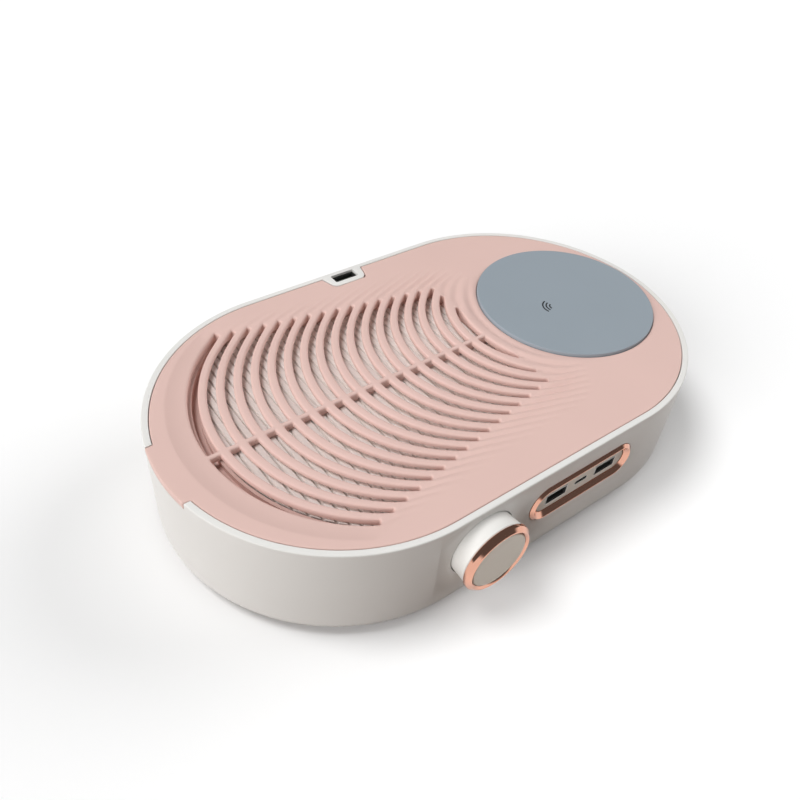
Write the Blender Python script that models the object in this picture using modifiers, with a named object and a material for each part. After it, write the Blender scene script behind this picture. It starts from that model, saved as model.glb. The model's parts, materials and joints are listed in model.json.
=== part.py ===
"""Nail dust collector: a low stadium-shaped table unit that draws dust through a curved slot grille.

All sizes are in metres. The body stands on the XY plane with its length along X,
the knob and the charging ports on the -Y side and the round pad towards +X.
"""

import math

import bmesh
import bpy
from mathutils import Matrix, Vector

# Driving sizes of the whole unit
body_width = 0.1693
body_height = 0.0524
wall = 0.0029
seat_gap = 0.0003
overrun = 0.002
end_steps = 16
round_steps = 16
pin_steps = 8
field_steps = 12

# Body shell
bottom_fillet = 0.0065
fillet_steps = 2
rim_chamfer = 0.0005
ledge_width = 0.0030
ledge_thickness = 0.0021
floor_thickness = 0.0050
base_inset = 0.0110
base_lip = 0.0030

# Base plate, feet and fixings
base_thickness = 0.0025
foot_height = 0.0020
foot_radius = 0.0070
foot_recess = 0.0010
foot_inset = 0.0277
foot_angle = math.radians(54)
base_screw_inset = 0.0170
base_screw_angle = math.radians(45)
base_boss_radius = 0.0045
base_boss_height = 0.0090
screw_head_radius = 0.0027
screw_head_height = 0.0014
screw_shank_radius = 0.0013
screw_shank_length = 0.0060
screw_hole_gap = 0.0003
screw_crown_share = 0.8
housing_post_radius = 0.0040
housing_post_ring = 0.0300

# Cover with its grille
cover_thickness = 0.0030
cover_edge = 0.0004
tab_half_width = 0.0173
grille_depth = 0.0055
grille_margin = 0.0040
grille_inset = 0.0227
grille_length = 0.1505
slot_pitch = 0.00848
slot_radius_inset = 0.00075
slot_radius_step = 0.00197
slot_width = 0.0046
slot_tip_width = 0.0025
slot_edge = 0.0007
slot_steps = 5
spine_width = 0.0020
tip_start_reach = 0.02665
tip_start_inset = 0.01665
tip_end_inset = 0.04015
dish_depth = 0.0020
dish_inner_margin = 0.0026
crease_inset = 0.0107
crease_end_reach = 0.03165
crease_end_inset = 0.01265
crease_margin = 0.0040

# Charging pad on the cover
pad_radius = 0.0462
pad_gap = 0.0079
pad_inset = 0.0065
pad_recess = 0.0010
pad_proud = 0.0018
pad_edge = 0.0004
pad_steps = 48

# Magnets that hold the cover down
magnet_radius = 0.0030
magnet_thickness = 0.0015
magnet_boss_radius = 0.0050
magnet_boss_height = 0.0040
magnet_depth = 0.0001
left_magnet_inset = 0.0100
left_magnet_y = 0.0140
right_magnet_inset = 0.0075
right_magnet_angle = math.radians(35.7)

# Filter cassette
filter_margin = 0.0035
filter_frame_width = 0.0022
filter_height = 0.0110
filter_lip = 0.0012
pleat_pitch = 0.0036
pleat_height = 0.0080
pleat_drop = 0.0015
seal_thickness = 0.0015
filter_top_gap = 0.0005

# Fan deck with the filter well
deck_thickness = 0.0020
deck_gap = 0.0006
deck_front_inset = 0.0195
deck_edge = 0.0010
well_wall = 0.0020
well_ledge = 0.0030
well_drop = 0.0043
inlet_margin = 0.0080
inlet_lip_width = 0.0018
inlet_lip_height = 0.0014
guard_bar_width = 0.0020
guard_hub_radius = 0.0070
deck_post_radius = 0.0035
deck_post_left_inset = 0.0097
deck_post_left_y = 0.0120
deck_post_gap = 0.0085
deck_post_well_gap = 0.0057

# Fan and its housing
fan_wall_gap = 0.0305
fan_y = -0.0040
scroll_gap = 0.0040
scroll_growth = 0.0180
scroll_wall = 0.0020
scroll_floor = 0.0017
scroll_steps = 22
tongue_angle = math.radians(65)
fan_front_room = 0.02665
fan_plate = 0.0014
fan_floor_gap = 0.0010
fan_top_gap = 0.0022
fan_hub_wall = 0.0020
fan_hub_gap = 0.0010
blade_count = 9
blade_inner_radius = 0.0250
blade_thickness = 0.0014
blade_sweep = math.radians(42)
blade_steps = 5
blade_curve_share = 0.8
shroud_width = 0.0100
shroud_thickness = 0.0012
blade_embed = 0.0004
motor_radius = 0.0176
motor_top_gap = 0.0016
motor_edge = 0.0008
shaft_radius = 0.0015
shaft_proud = 0.0012
motor_bore_floor = 0.0017

# Exhaust louvres in the back wall
louvre_count = 9
louvre_width = 0.0024
louvre_pitch = 0.0043
louvre_low = 0.0085
louvre_top_inset = 0.0025

# Control knob
knob_place_share = 0.2936
knob_top_gap = 0.0005
knob_pad_width = 0.0478
knob_pad_height = 0.0368
knob_pad_radius = 0.0120
knob_pad_depth = 0.0005
knob_pocket_radius = 0.0167
knob_pocket_depth = 0.0040
knob_boss_radius = 0.0180
knob_boss_floor = 0.0020
knob_root_radius = 0.0162
knob_root_depth = 0.0032
knob_flare_radius = 0.0169
knob_wall = 0.0020
knob_spigot_radius = 0.0150
knob_boss_outer = 0.0055
knob_boss_start = 0.0012
knob_cavity_top = 0.0063
knob_bore_top = 0.0055
ring_radius = 0.0174
ring_inner_radius = 0.0137
ring_start = 0.0076
ring_front = 0.0110
ring_round = 0.0014
face_radius = 0.0134
face_thickness = 0.0006
spigot_front = 0.0096
knob_steps = 24

# Speed control behind the knob
pot_radius = 0.0084
pot_depth = 0.0080
pot_shaft_radius = 0.0030
pot_shaft_depth = 0.0060
bushing_radius = 0.0042
bushing_front = 0.0024
pot_nut_radius = 0.0062
pot_nut_thickness = 0.0018
pot_lug_width = 0.0018
pot_lug_thickness = 0.0008
pot_lug_length = 0.0040
pot_lug_pitch = 0.0050

# Charging ports in the front wall
port_spacing = 0.0602
port_rise = 0.0016
bezel_rim = 0.0039
bezel_window_length = 0.0580
bezel_window_height = 0.0120
bezel_proud = 0.0004
bezel_seat_depth = 0.0012
bezel_round = 0.0005
panel_lap = 0.0014
panel_recess = 0.0011
panel_thickness = 0.0028
panel_flange = 0.0016
usb_margin = 0.0134
usb_width = 0.0131
usb_height = 0.0057
usb_depth = 0.0135
usb_wall = 0.0003
usb_back = 0.0009
usb_tongue_width = 0.0111
usb_tongue_thickness = 0.0018
usb_tongue_length = 0.0085
usb_tongue_offset = 0.0013
usb_c_width = 0.0090
usb_c_height = 0.0034
usb_c_depth = 0.0073
usb_c_wall = 0.0004
usb_c_tongue_width = 0.0064
usb_c_tongue_thickness = 0.0007
usb_c_tongue_length = 0.0045
board_thickness = 0.0016
port_board_margin = 0.0030
port_board_depth = 0.0145
port_board_setback = 0.0010
port_post_margin = 0.0015
port_post_inset = 0.0045
port_post_radius = 0.0026

# Lamp socket block in the back edge
lamp_rim_half = 0.0123
lamp_inner_half = 0.0095
lamp_inner_inset = 0.01205
lamp_corner = 0.0030
lamp_block_depth = 0.0190
lamp_socket_inset = 0.00595
lamp_mouth_width = 0.0143
lamp_mouth_height = 0.0062
lamp_mouth_corner = 0.0008
lamp_pocket_floor = 0.0025
lamp_socket_sink = 0.0010

# Battery, control board and charging coil under the pad
battery_gap = 0.0024
cell_radius = 0.0090
cell_length = 0.0650
cell_gap = 0.0006
cell_count = 3
cell_cap_radius = 0.0030
cell_cap_height = 0.0008
tray_wall = 0.0012
tray_floor = 0.0015
tray_height = 0.0110
tray_clearance = 0.0002
board_length = 0.0546
board_width = 0.0840
board_gap = 0.0044
board_post_radius = 0.0028
board_post_x = 0.0213
board_post_y = 0.0385
capacitor_radius = 0.0040
capacitor_height = 0.0090
capacitor_x = 0.0200
capacitor_y = 0.0300
chip_size = 0.0090
chip_height = 0.0012
coil_carrier_radius = 0.0260
coil_carrier_wall = 0.0020
coil_carrier_floor = 0.0015
coil_carrier_height = 0.0050
coil_leg_radius = 0.0020
coil_leg_spread = 0.0150
ferrite_thickness = 0.0010
coil_inner_radius = 0.0090
coil_thickness = 0.0016
coil_margin = 0.0015
coil_cover_gap = 0.0006

# Places that follow from the driving sizes
body_length = grille_inset + grille_length + pad_gap + 2 * pad_radius + pad_inset
half_length = body_length / 2
half_width = body_width / 2
inner_wall_y = half_width - wall
end_x = half_length - half_width
ledge_top = body_height - cover_thickness - seat_gap
ledge_low = ledge_top - ledge_thickness
cover_low = body_height - cover_thickness
grille_low = body_height - grille_depth
base_pocket = base_thickness + seat_gap

foot_x = end_x + (half_width - foot_inset) * math.cos(foot_angle)
foot_y = (half_width - foot_inset) * math.sin(foot_angle)
base_screw_x = end_x + (half_width - base_screw_inset) * math.cos(base_screw_angle)
base_screw_y = (half_width - base_screw_inset) * math.sin(base_screw_angle)
left_magnet_x = left_magnet_inset - half_length
right_magnet_x = end_x + (half_width - right_magnet_inset) * math.cos(right_magnet_angle)
right_magnet_y = (half_width - right_magnet_inset) * math.sin(right_magnet_angle)

first_slot_x = grille_inset - half_length
first_slot_radius = half_width - slot_radius_inset
slot_count = math.floor(grille_length / slot_pitch) + 1
tip_start_x = -end_x - tip_start_reach
tip_start_y = half_width - tip_start_inset
tip_end_x = first_slot_x + grille_length
tip_end_y = half_width - tip_end_inset
crease_x = crease_inset - half_length
crease_end_x = -end_x - crease_end_reach
crease_end_y = half_width - crease_end_inset
pad_x = tip_end_x + pad_gap + pad_radius

filter_top = grille_low - filter_top_gap
filter_low = filter_top - filter_height
seal_top = filter_low - seat_gap
seal_low = seal_top - seal_thickness
well_ledge_top = seal_low - seat_gap
deck_top = well_ledge_top - well_drop
deck_low = deck_top - deck_thickness
deck_front_y = deck_front_inset - half_width

knob_x = -knob_place_share * half_length
knob_z = cover_low - knob_boss_radius - knob_top_gap
knob_boss_back = knob_pocket_depth + knob_boss_floor

fan_radius = half_width - knob_boss_back - pot_depth - fan_front_room
inlet_radius = fan_radius - inlet_margin
scroll_start_radius = fan_radius + scroll_gap
scroll_end_radius = scroll_start_radius + scroll_growth
scroll_left_share = (math.pi - tongue_angle) / (math.tau - tongue_angle)
scroll_left_radius = scroll_start_radius + scroll_growth * scroll_left_share + scroll_wall
fan_x = scroll_left_radius + fan_wall_gap - half_length
housing_low = floor_thickness + seat_gap
housing_high = deck_low - seat_gap
fan_low = housing_low + scroll_floor + fan_floor_gap
fan_high = deck_low - fan_top_gap
motor_low = housing_low + scroll_floor + seat_gap
motor_top = fan_high - fan_plate - motor_top_gap
louvre_high = deck_low - louvre_top_inset
deck_post_left_x = deck_post_left_inset - half_length
deck_post_right_x = fan_x + scroll_end_radius + scroll_wall + deck_post_gap
well_right_x = tip_end_x + filter_margin + seat_gap + well_wall
deck_right_x = max(well_right_x, deck_post_right_x + deck_post_radius) + deck_edge

port_x = knob_x + port_spacing
port_z = knob_z + port_rise
bezel_length = bezel_window_length + 2 * bezel_rim
bezel_height = bezel_window_height + 2 * bezel_rim
panel_length = bezel_window_length + 2 * panel_lap
panel_height = bezel_window_height + 2 * panel_lap
panel_front = bezel_proud - panel_recess
panel_back = panel_front - panel_thickness
usb_mouth = panel_back - seat_gap
usb_spacing = bezel_window_length / 2 - usb_margin
port_board_length = bezel_window_length + 2 * port_board_margin
port_board_top = port_z - usb_height / 2 - seat_gap
port_post_x = bezel_window_length / 2 - port_post_margin
lamp_inner_y = half_width - lamp_inner_inset
lamp_socket_y = half_width - lamp_socket_inset

tray_low = base_pocket
tray_half_x = cell_count * (2 * cell_radius + cell_gap) / 2 + tray_clearance
tray_half_y = cell_length / 2 + cell_cap_height + tray_clearance + seat_gap
tray_reach = math.sqrt((half_width - base_inset - base_lip) ** 2 - (tray_half_y + tray_wall) ** 2)
battery_x = end_x + tray_reach - tray_half_x - tray_wall - battery_gap
board_low = tray_low + tray_floor + seat_gap + 2 * cell_radius + board_gap

part_collection = bpy.data.collections.new("nail_dust_collector")
tool_collection = bpy.data.collections.new("cutters")

finishes = {
    "white_gloss": ((0.80, 0.79, 0.77, 1), 0.30, 0.0),
    "pink": ((0.72, 0.52, 0.47, 1), 0.42, 0.0),
    "slate": ((0.30, 0.34, 0.38, 1), 0.55, 0.0),
    "rose_gold": ((0.80, 0.47, 0.36, 1), 0.12, 1.0),
    "warm_grey": ((0.40, 0.37, 0.33, 1), 0.45, 0.0),
    "panel_grey": ((0.38, 0.36, 0.33, 1), 0.50, 0.0),
    "steel": ((0.60, 0.60, 0.60, 1), 0.30, 1.0),
    "socket_black": ((0.03, 0.03, 0.03, 1), 0.50, 0.0),
    "white_paper": ((0.85, 0.84, 0.82, 1), 0.90, 0.0),
    "foam": ((0.08, 0.08, 0.08, 1), 0.95, 0.0),
    "rubber": ((0.05, 0.05, 0.05, 1), 0.80, 0.0),
    "inner_plastic": ((0.55, 0.55, 0.54, 1), 0.50, 0.0),
    "board_green": ((0.05, 0.20, 0.08, 1), 0.50, 0.0),
    "copper": ((0.75, 0.36, 0.18, 1), 0.30, 1.0),
    "ferrite": ((0.10, 0.10, 0.11, 1), 0.60, 0.0),
    "battery_wrap": ((0.10, 0.25, 0.45, 1), 0.40, 0.0),
}


def clear_scene():
    for item in list(bpy.data.objects):
        bpy.data.objects.remove(item)
    bpy.context.scene.collection.children.link(part_collection)
    bpy.context.scene.collection.children.link(tool_collection)


def empty(name, location, parent=None, rotation=(0, 0, 0)):
    """A named axis that pieces are parented to."""
    axis = bpy.data.objects.new(name, None)
    axis.location = location
    axis.rotation_euler = rotation
    axis.parent = parent
    part_collection.objects.link(axis)
    return axis


def make_piece(name, mesh, parent, finish):
    """Links a mesh as a part in its own material, or as a cutter where it has no finish."""
    piece = bpy.data.objects.new(name, mesh)
    piece.parent = parent
    if finish is None:
        piece.hide_render = True
        piece.display_type = "WIRE"
        tool_collection.objects.link(piece)
        return piece
    colour, roughness, metallic = finishes[finish]
    surface = bpy.data.materials.new(name)
    surface.use_nodes = True
    shader = surface.node_tree.nodes["Principled BSDF"]
    shader.inputs["Base Color"].default_value = colour
    shader.inputs["Roughness"].default_value = roughness
    shader.inputs["Metallic"].default_value = metallic
    mesh.materials.append(surface)
    mesh.shade_smooth()
    mesh.set_sharp_from_angle(angle=math.radians(35))
    part_collection.objects.link(piece)
    return piece


def from_bmesh(name, form, parent, finish):
    bmesh.ops.recalc_face_normals(form, faces=form.faces)
    mesh = bpy.data.meshes.new(name)
    form.to_mesh(mesh)
    form.free()
    return make_piece(name, mesh, parent, finish)


def racetrack(length, width, steps=end_steps):
    """Outline with two straight sides and two half-round ends, anticlockwise."""
    radius = width / 2
    reach = length / 2 - radius
    points = []
    for side in (1, -1):
        for step in range(steps + 1):
            angle = math.pi * (step / steps - 1 / 2)
            points.append((side * (reach + radius * math.cos(angle)), side * radius * math.sin(angle)))
    return points


def stadium(inset):
    """The body's outline, drawn in by a distance all round."""
    return racetrack(body_length - 2 * inset, body_width - 2 * inset)


def circle(radius, centre=(0, 0), steps=round_steps):
    turns = [math.tau * step / steps for step in range(steps)]
    return [(centre[0] + radius * math.cos(a), centre[1] + radius * math.sin(a)) for a in turns]


def rounded_box(length, width, radius, steps=3):
    """Rectangle with round corners."""
    points = []
    for quarter in range(4):
        sign_x = 1 if quarter in (0, 3) else -1
        sign_y = 1 if quarter in (0, 1) else -1
        centre_x = sign_x * (length / 2 - radius)
        centre_y = sign_y * (width / 2 - radius)
        for step in range(steps + 1):
            angle = math.pi / 2 * (quarter + step / steps)
            points.append((centre_x + radius * math.cos(angle), centre_y + radius * math.sin(angle)))
    return points


def trimmed(points, axis, limit, keep_above):
    """Cuts an outline straight across at a limit on one axis."""
    kept = []
    for start, end in zip(points, points[1:] + points[:1]):
        start_in = (start[axis] >= limit) == keep_above
        end_in = (end[axis] >= limit) == keep_above
        if start_in:
            kept.append(start)
        if start_in != end_in:
            share = (limit - start[axis]) / (end[axis] - start[axis])
            kept.append(tuple(a + share * (b - a) for a, b in zip(start, end)))
    return kept


def loft(name, loops, parent=None, finish=None, ring=False):
    """Skins matching closed loops of points. A ring joins the last loop to the first."""
    form = bmesh.new()
    rows = [[form.verts.new(point) for point in loop] for loop in loops]
    pairs = list(zip(rows, rows[1:]))
    if ring:
        pairs.append((rows[-1], rows[0]))
    else:
        form.faces.new(rows[0])
        form.faces.new(rows[-1])
    for low, high in pairs:
        for here in range(len(low)):
            there = (here + 1) % len(low)
            form.faces.new((low[here], low[there], high[there], high[here]))
    return from_bmesh(name, form, parent, finish)


def rim_profile(name, profile, parent, finish):
    """Sweeps a closed profile of (inset, height) points round the body's outline."""
    loops = [[(x, y, height) for x, y in stadium(inset)] for inset, height in profile]
    return loft(name, loops, parent, finish, ring=True)


def prism(name, outline, low, high, parent=None, finish=None, top_edge=0, side_edge=0):
    """Straight-sided solid on an outline, with its top rim or its upright edges rounded off."""
    form = bmesh.new()
    face = form.faces.new([form.verts.new((x, y, low)) for x, y in outline])
    grown = bmesh.ops.extrude_face_region(form, geom=[face])["geom"]
    raised = [item for item in grown if isinstance(item, bmesh.types.BMVert)]
    bmesh.ops.translate(form, verts=raised, vec=(0, 0, high - low))
    bmesh.ops.recalc_face_normals(form, faces=form.faces)
    if top_edge:
        rim = [edge for edge in form.edges if all(vert in raised for vert in edge.verts)]
        bmesh.ops.bevel(form, geom=rim, offset=top_edge, segments=1, profile=0.5, affect="EDGES")
    if side_edge:
        upright = [edge for edge in form.edges if edge.verts[0].co.xy == edge.verts[1].co.xy]
        bmesh.ops.bevel(form, geom=upright, offset=side_edge, segments=3, profile=0.5, affect="EDGES")
    return from_bmesh(name, form, parent, finish)


def flat_piece(name, outlines, low, high, parent=None, finish=None):
    """Plate with holes: a filled 2D curve of several outlines, given its thickness and welded."""
    shape = bpy.data.curves.new(name, "CURVE")
    shape.dimensions = "2D"
    shape.fill_mode = "BOTH"
    shape.extrude = (high - low) / 2
    for outline in outlines:
        spline = shape.splines.new("POLY")
        spline.points.add(len(outline) - 1)
        for point, (x, y) in zip(spline.points, outline):
            point.co = (x, y, 0, 1)
        spline.use_cyclic_u = True
    drawn = bpy.data.objects.new(name, shape)
    bpy.context.scene.collection.objects.link(drawn)
    evaluated = drawn.evaluated_get(bpy.context.evaluated_depsgraph_get())
    mesh = bpy.data.meshes.new_from_object(evaluated)
    bpy.data.objects.remove(drawn)
    bpy.data.curves.remove(shape)
    form = bmesh.new()
    form.from_mesh(mesh)
    bpy.data.meshes.remove(mesh)
    bmesh.ops.remove_doubles(form, verts=form.verts, dist=seat_gap / 100)
    bmesh.ops.translate(form, verts=form.verts, vec=(0, 0, (low + high) / 2))
    return from_bmesh(name, form, parent, finish)


def turned(name, profile, parent=None, finish=None, at=(0, 0), steps=round_steps, closed=True):
    """Revolves a profile of (radius, height) points about the local Z axis."""
    mesh = bpy.data.meshes.new(name)
    edges = [(here, here + 1) for here in range(len(profile) - 1)]
    if closed:
        edges.append((len(profile) - 1, 0))
    mesh.from_pydata([(radius, 0, height) for radius, height in profile], edges, [])
    piece = make_piece(name, mesh, parent, finish)
    piece.location = (at[0], at[1], 0)
    screw = piece.modifiers.new("turn", "SCREW")
    screw.steps = steps
    screw.render_steps = steps
    screw.use_merge_vertices = True
    screw.merge_threshold = seat_gap / 100
    weld = piece.modifiers.new("close", "WELD")
    weld.merge_threshold = seat_gap / 100
    return piece


def rod(name, radius, low, high, at=(0, 0), parent=None, finish=None, steps=pin_steps, top_radius=None):
    """Upright round bar, or a cone where the top radius differs."""
    form = bmesh.new()
    top = radius if top_radius is None else top_radius
    middle = Matrix.Translation((at[0], at[1], (low + high) / 2))
    bmesh.ops.create_cone(form, cap_ends=True, segments=steps, radius1=radius, radius2=top,
                          depth=high - low, matrix=middle)
    return from_bmesh(name, form, parent, finish)


def block(name, low, high, parent=None, finish=None, edge=0):
    """Box between two corners, with its edges eased by a small bevel."""
    form = bmesh.new()
    size = [b - a for a, b in zip(low, high)]
    middle = Vector([(a + b) / 2 for a, b in zip(low, high)])
    bmesh.ops.create_cube(form, size=1, matrix=Matrix.Translation(middle) @ Matrix.Diagonal((*size, 1)))
    if edge:
        bmesh.ops.bevel(form, geom=form.edges, offset=edge, segments=1, profile=0.5, affect="EDGES")
    return from_bmesh(name, form, parent, finish)


def combine(piece, tool, operation):
    change = piece.modifiers.new(tool.name, "BOOLEAN")
    change.operation = operation
    change.object = tool
    change.solver = "EXACT"


def cut(piece, *tools):
    for tool in tools:
        combine(piece, tool, "DIFFERENCE")


def join(piece, *tools):
    for tool in tools:
        combine(piece, tool, "UNION")


def keep_inside(piece, tool):
    combine(piece, tool, "INTERSECT")


def four_corners(x, y):
    return [(x * side_x, y * side_y) for side_x in (-1, 1) for side_y in (-1, 1)]


def magnet_places():
    left = [(left_magnet_x, side * left_magnet_y) for side in (-1, 1)]
    return left + [(right_magnet_x, side * right_magnet_y) for side in (-1, 1)]


def deck_post_places():
    left = [(deck_post_left_x, side * deck_post_left_y) for side in (-1, 1)]
    right_y = envelope_y(deck_post_right_x, filter_margin + seat_gap + well_wall) + deck_post_well_gap
    return left, [(deck_post_right_x, side * right_y) for side in (-1, 1)]


def envelope_y(x, margin):
    """Height above the centre line at which the slot tips end, moved out by a margin."""
    slope = (tip_end_y - tip_start_y) / (tip_end_x - tip_start_x)
    return tip_start_y + slope * (x - tip_start_x) + margin * math.hypot(1, slope)


def arc_meets_envelope(centre_x, radius, margin):
    """Angle, from the arc's left end, at which an arc crosses the line of slot tips."""
    low, high = 0, math.pi / 2
    for _ in range(60):
        angle = (low + high) / 2
        inside = radius * math.sin(angle) < envelope_y(centre_x - radius * math.cos(angle), margin)
        low, high = (angle, high) if inside else (low, angle)
    return low


def field_outline(margin):
    """Outline of the grille field: the first slot's arc, the two lines of tips and a straight end."""
    centre_x = first_slot_x + first_slot_radius
    radius = first_slot_radius + margin
    reach = arc_meets_envelope(centre_x, radius, margin)
    points = []
    for step in range(field_steps + 1):
        angle = reach * (1 - 2 * step / field_steps)
        points.append((centre_x - radius * math.cos(angle), radius * math.sin(angle)))
    right = tip_end_x + margin
    return points + [(right, -envelope_y(right, margin)), (right, envelope_y(right, margin))]


def crease_outline():
    """Outline of the soft crease round the field, which runs out along the lines of tips."""
    rise = crease_end_x - crease_x
    radius = (rise ** 2 + crease_end_y ** 2) / (2 * rise)
    centre_x = crease_x + radius
    reach = math.asin(crease_end_y / radius)
    points = []
    for step in range(field_steps + 1):
        angle = reach * (1 - 2 * step / field_steps)
        points.append((centre_x - radius * math.cos(angle), radius * math.sin(angle)))
    right = tip_end_x + crease_margin
    return points + [(right, -envelope_y(right, crease_margin)), (right, envelope_y(right, crease_margin))]


def dish_z(x):
    """Height of the sunk grille field, which rises to the cover's face at its right end."""
    share = (tip_end_x + crease_margin - x) / (tip_end_x + crease_margin - first_slot_x)
    return body_height - dish_depth * share


def tab_outline():
    """The finger tab: the strip of the body's left end that the cover fills out to the wall."""
    strip = trimmed(trimmed(stadium(0), 1, tab_half_width, False), 1, -tab_half_width, True)
    return trimmed(strip, 0, -half_length + 2 * wall, False)


def slot_half(index, side):
    """One half of a curved slot, from the spine to its tip: loops of a cutter with a flared mouth."""
    spine_x = first_slot_x + slot_pitch * index
    radius = first_slot_radius - slot_radius_step * index
    centre_x = spine_x + radius
    reach = arc_meets_envelope(centre_x, radius, 0)
    if centre_x - radius * math.cos(reach) > tip_end_x:
        reach = math.acos((centre_x - tip_end_x) / radius)
    loops = []
    levels = [(grille_low - overrun, None, 0), (None, -slot_edge, 0), (None, slot_edge, 2 * slot_edge)]
    for height, rise, flare in levels:
        edges = []
        for edge in (1, -1):
            line = []
            for step in range(slot_steps + 1):
                share = step / slot_steps
                width = slot_width + (slot_tip_width - slot_width) * share ** 2 + 2 * flare
                edge_radius = radius + edge * width / 2
                start = math.asin((spine_width / 2 - flare) / edge_radius)
                angle = start + (reach + flare / radius - start) * share
                x = centre_x - edge_radius * math.cos(angle)
                z = height if rise is None else dish_z(x) + rise
                line.append((x, side * edge_radius * math.sin(angle), z))
            edges.append(line)
        loops.append(edges[0] + edges[1][::-1])
    return loops


def make_shell(origin):
    fillet = []
    for step in range(fillet_steps + 1):
        angle = math.pi / 2 * step / fillet_steps
        fillet.append((bottom_fillet * (1 - math.sin(angle)), bottom_fillet * (1 - math.cos(angle))))
    profile = [(base_inset, 0)] + fillet + [
        (0, body_height - rim_chamfer), (rim_chamfer, body_height),
        (wall, body_height), (wall, ledge_top), (wall + ledge_width, ledge_top),
        (wall + ledge_width, ledge_low), (wall, ledge_low), (wall, floor_thickness),
        (base_inset + base_lip, floor_thickness), (base_inset + base_lip, base_pocket),
        (base_inset, base_pocket)]
    shell = rim_profile("body_shell", profile, origin, "white_gloss")
    add_knob_boss(shell, origin)
    add_lamp_block(shell, origin)
    for number, place in enumerate(magnet_places(), 1):
        join(shell, rod(f"magnet_boss_{number}", magnet_boss_radius, ledge_top - magnet_boss_height,
                        ledge_top, place, origin))
        pocket = magnet_thickness + magnet_depth + seat_gap
        cut(shell, rod(f"magnet_pocket_{number}", magnet_radius + seat_gap, ledge_top - pocket,
                       ledge_top + seat_gap, place, origin))
    for number, place in enumerate(four_corners(base_screw_x, base_screw_y), 1):
        join(shell, rod(f"base_boss_{number}", base_boss_radius, base_pocket,
                        base_pocket + base_boss_height, place, origin))
        cut(shell, rod(f"base_boss_hole_{number}", screw_shank_radius + screw_hole_gap, 0,
                       base_pocket + screw_shank_length, place, origin))
    for number, place in enumerate(deck_post_places()[0], 1):
        add_post(shell, f"shell_deck_post_{number}", deck_post_radius, floor_thickness - base_lip / 2,
                 deck_low - seat_gap, place, origin)
    for number, side in enumerate((-1, 1), 1):
        place = (port_x + side * port_post_x, -(inner_wall_y - port_post_inset))
        add_post(shell, f"port_post_{number}", port_post_radius, floor_thickness - base_lip / 2,
                 port_board_top - board_thickness - seat_gap, place, origin, bored=False)
    cut_openings(shell, origin)
    return shell


def add_post(piece, name, radius, low, high, place, origin, bored=True):
    join(piece, rod(name, radius, low, high, place, origin))
    if bored:
        cut(piece, rod(f"{name}_hole", screw_shank_radius + screw_hole_gap,
                       high - screw_shank_length, high + overrun, place, origin))


def add_knob_boss(shell, origin):
    """Round pocket that the knob turns in, with a floor that carries the speed control."""
    axis = empty("knob_seat", (knob_x, -half_width, knob_z), origin, (math.pi / 2, 0, 0))
    join(shell, rod("knob_boss", knob_boss_radius, -knob_boss_back, -wall / 2, parent=axis, steps=knob_steps))
    pad = rounded_box(knob_pad_width, knob_pad_height, knob_pad_radius)
    cut(shell, prism("knob_pad_recess", pad, -knob_pad_depth, overrun, axis))
    cut(shell, rod("knob_pocket", knob_pocket_radius, -knob_pocket_depth, overrun, parent=axis,
                   steps=knob_steps))
    cut(shell, rod("bushing_hole", bushing_radius + seat_gap, -knob_boss_back - overrun,
                   -knob_pocket_depth + overrun, parent=axis, steps=round_steps))


def lamp_outline(grow):
    """Wedge-sided outline of the lamp socket block, from inside the wall to its inner edge."""
    outer_y = half_width - wall / 2
    inner_y = lamp_inner_y - grow
    return [(-lamp_rim_half - grow, outer_y), (-lamp_inner_half - grow, inner_y),
            (lamp_inner_half + grow, inner_y), (lamp_rim_half + grow, outer_y)]


def add_lamp_block(shell, origin):
    """Socket block for the plug-in lamp, moulded into the back of the rim."""
    low = body_height - lamp_block_depth
    join(shell, prism("lamp_block", lamp_outline(0), low, body_height, origin, side_edge=lamp_corner))
    axis = empty("lamp_mouth", (0, lamp_socket_y, body_height), origin)
    mouth = rounded_box(lamp_mouth_width, lamp_mouth_height, lamp_mouth_corner, steps=2)
    cut(shell, prism("lamp_pocket", mouth, lamp_pocket_floor - lamp_block_depth, overrun, axis))


def cut_openings(shell, origin):
    """Port window, exhaust louvres and the notch for the cover's finger tab."""
    axis = empty("port_seat", (port_x, -half_width, port_z), origin, (math.pi / 2, 0, 0))
    seat = racetrack(bezel_length + 2 * seat_gap, bezel_height + 2 * seat_gap, round_steps // 2)
    cut(shell, prism("bezel_seat", seat, -bezel_seat_depth, overrun, axis))
    window = racetrack(panel_length + 2 * seat_gap, panel_height + 2 * seat_gap, round_steps // 2)
    cut(shell, prism("port_window", window, -wall - overrun, overrun, axis))
    middle_x = fan_x + (scroll_end_radius + scroll_start_radius * math.cos(tongue_angle)) / 2
    for number in range(louvre_count):
        x = middle_x + louvre_pitch * (number - (louvre_count - 1) / 2)
        upright = empty(f"louvre_axis_{number + 1}", (x, half_width, (louvre_low + louvre_high) / 2), origin,
                        (math.pi / 2, 0, 0))
        outline = [(x, y) for y, x in racetrack(louvre_high - louvre_low, louvre_width, 2)][::-1]
        cut(shell, prism(f"louvre_{number + 1}", outline, -overrun, wall + overrun, upright))
    reach = tab_half_width + seat_gap
    cut(shell, block("tab_notch", (-half_length - overrun, -reach, ledge_top),
                     (-half_length + 2 * wall, reach, body_height + overrun), origin))


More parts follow.
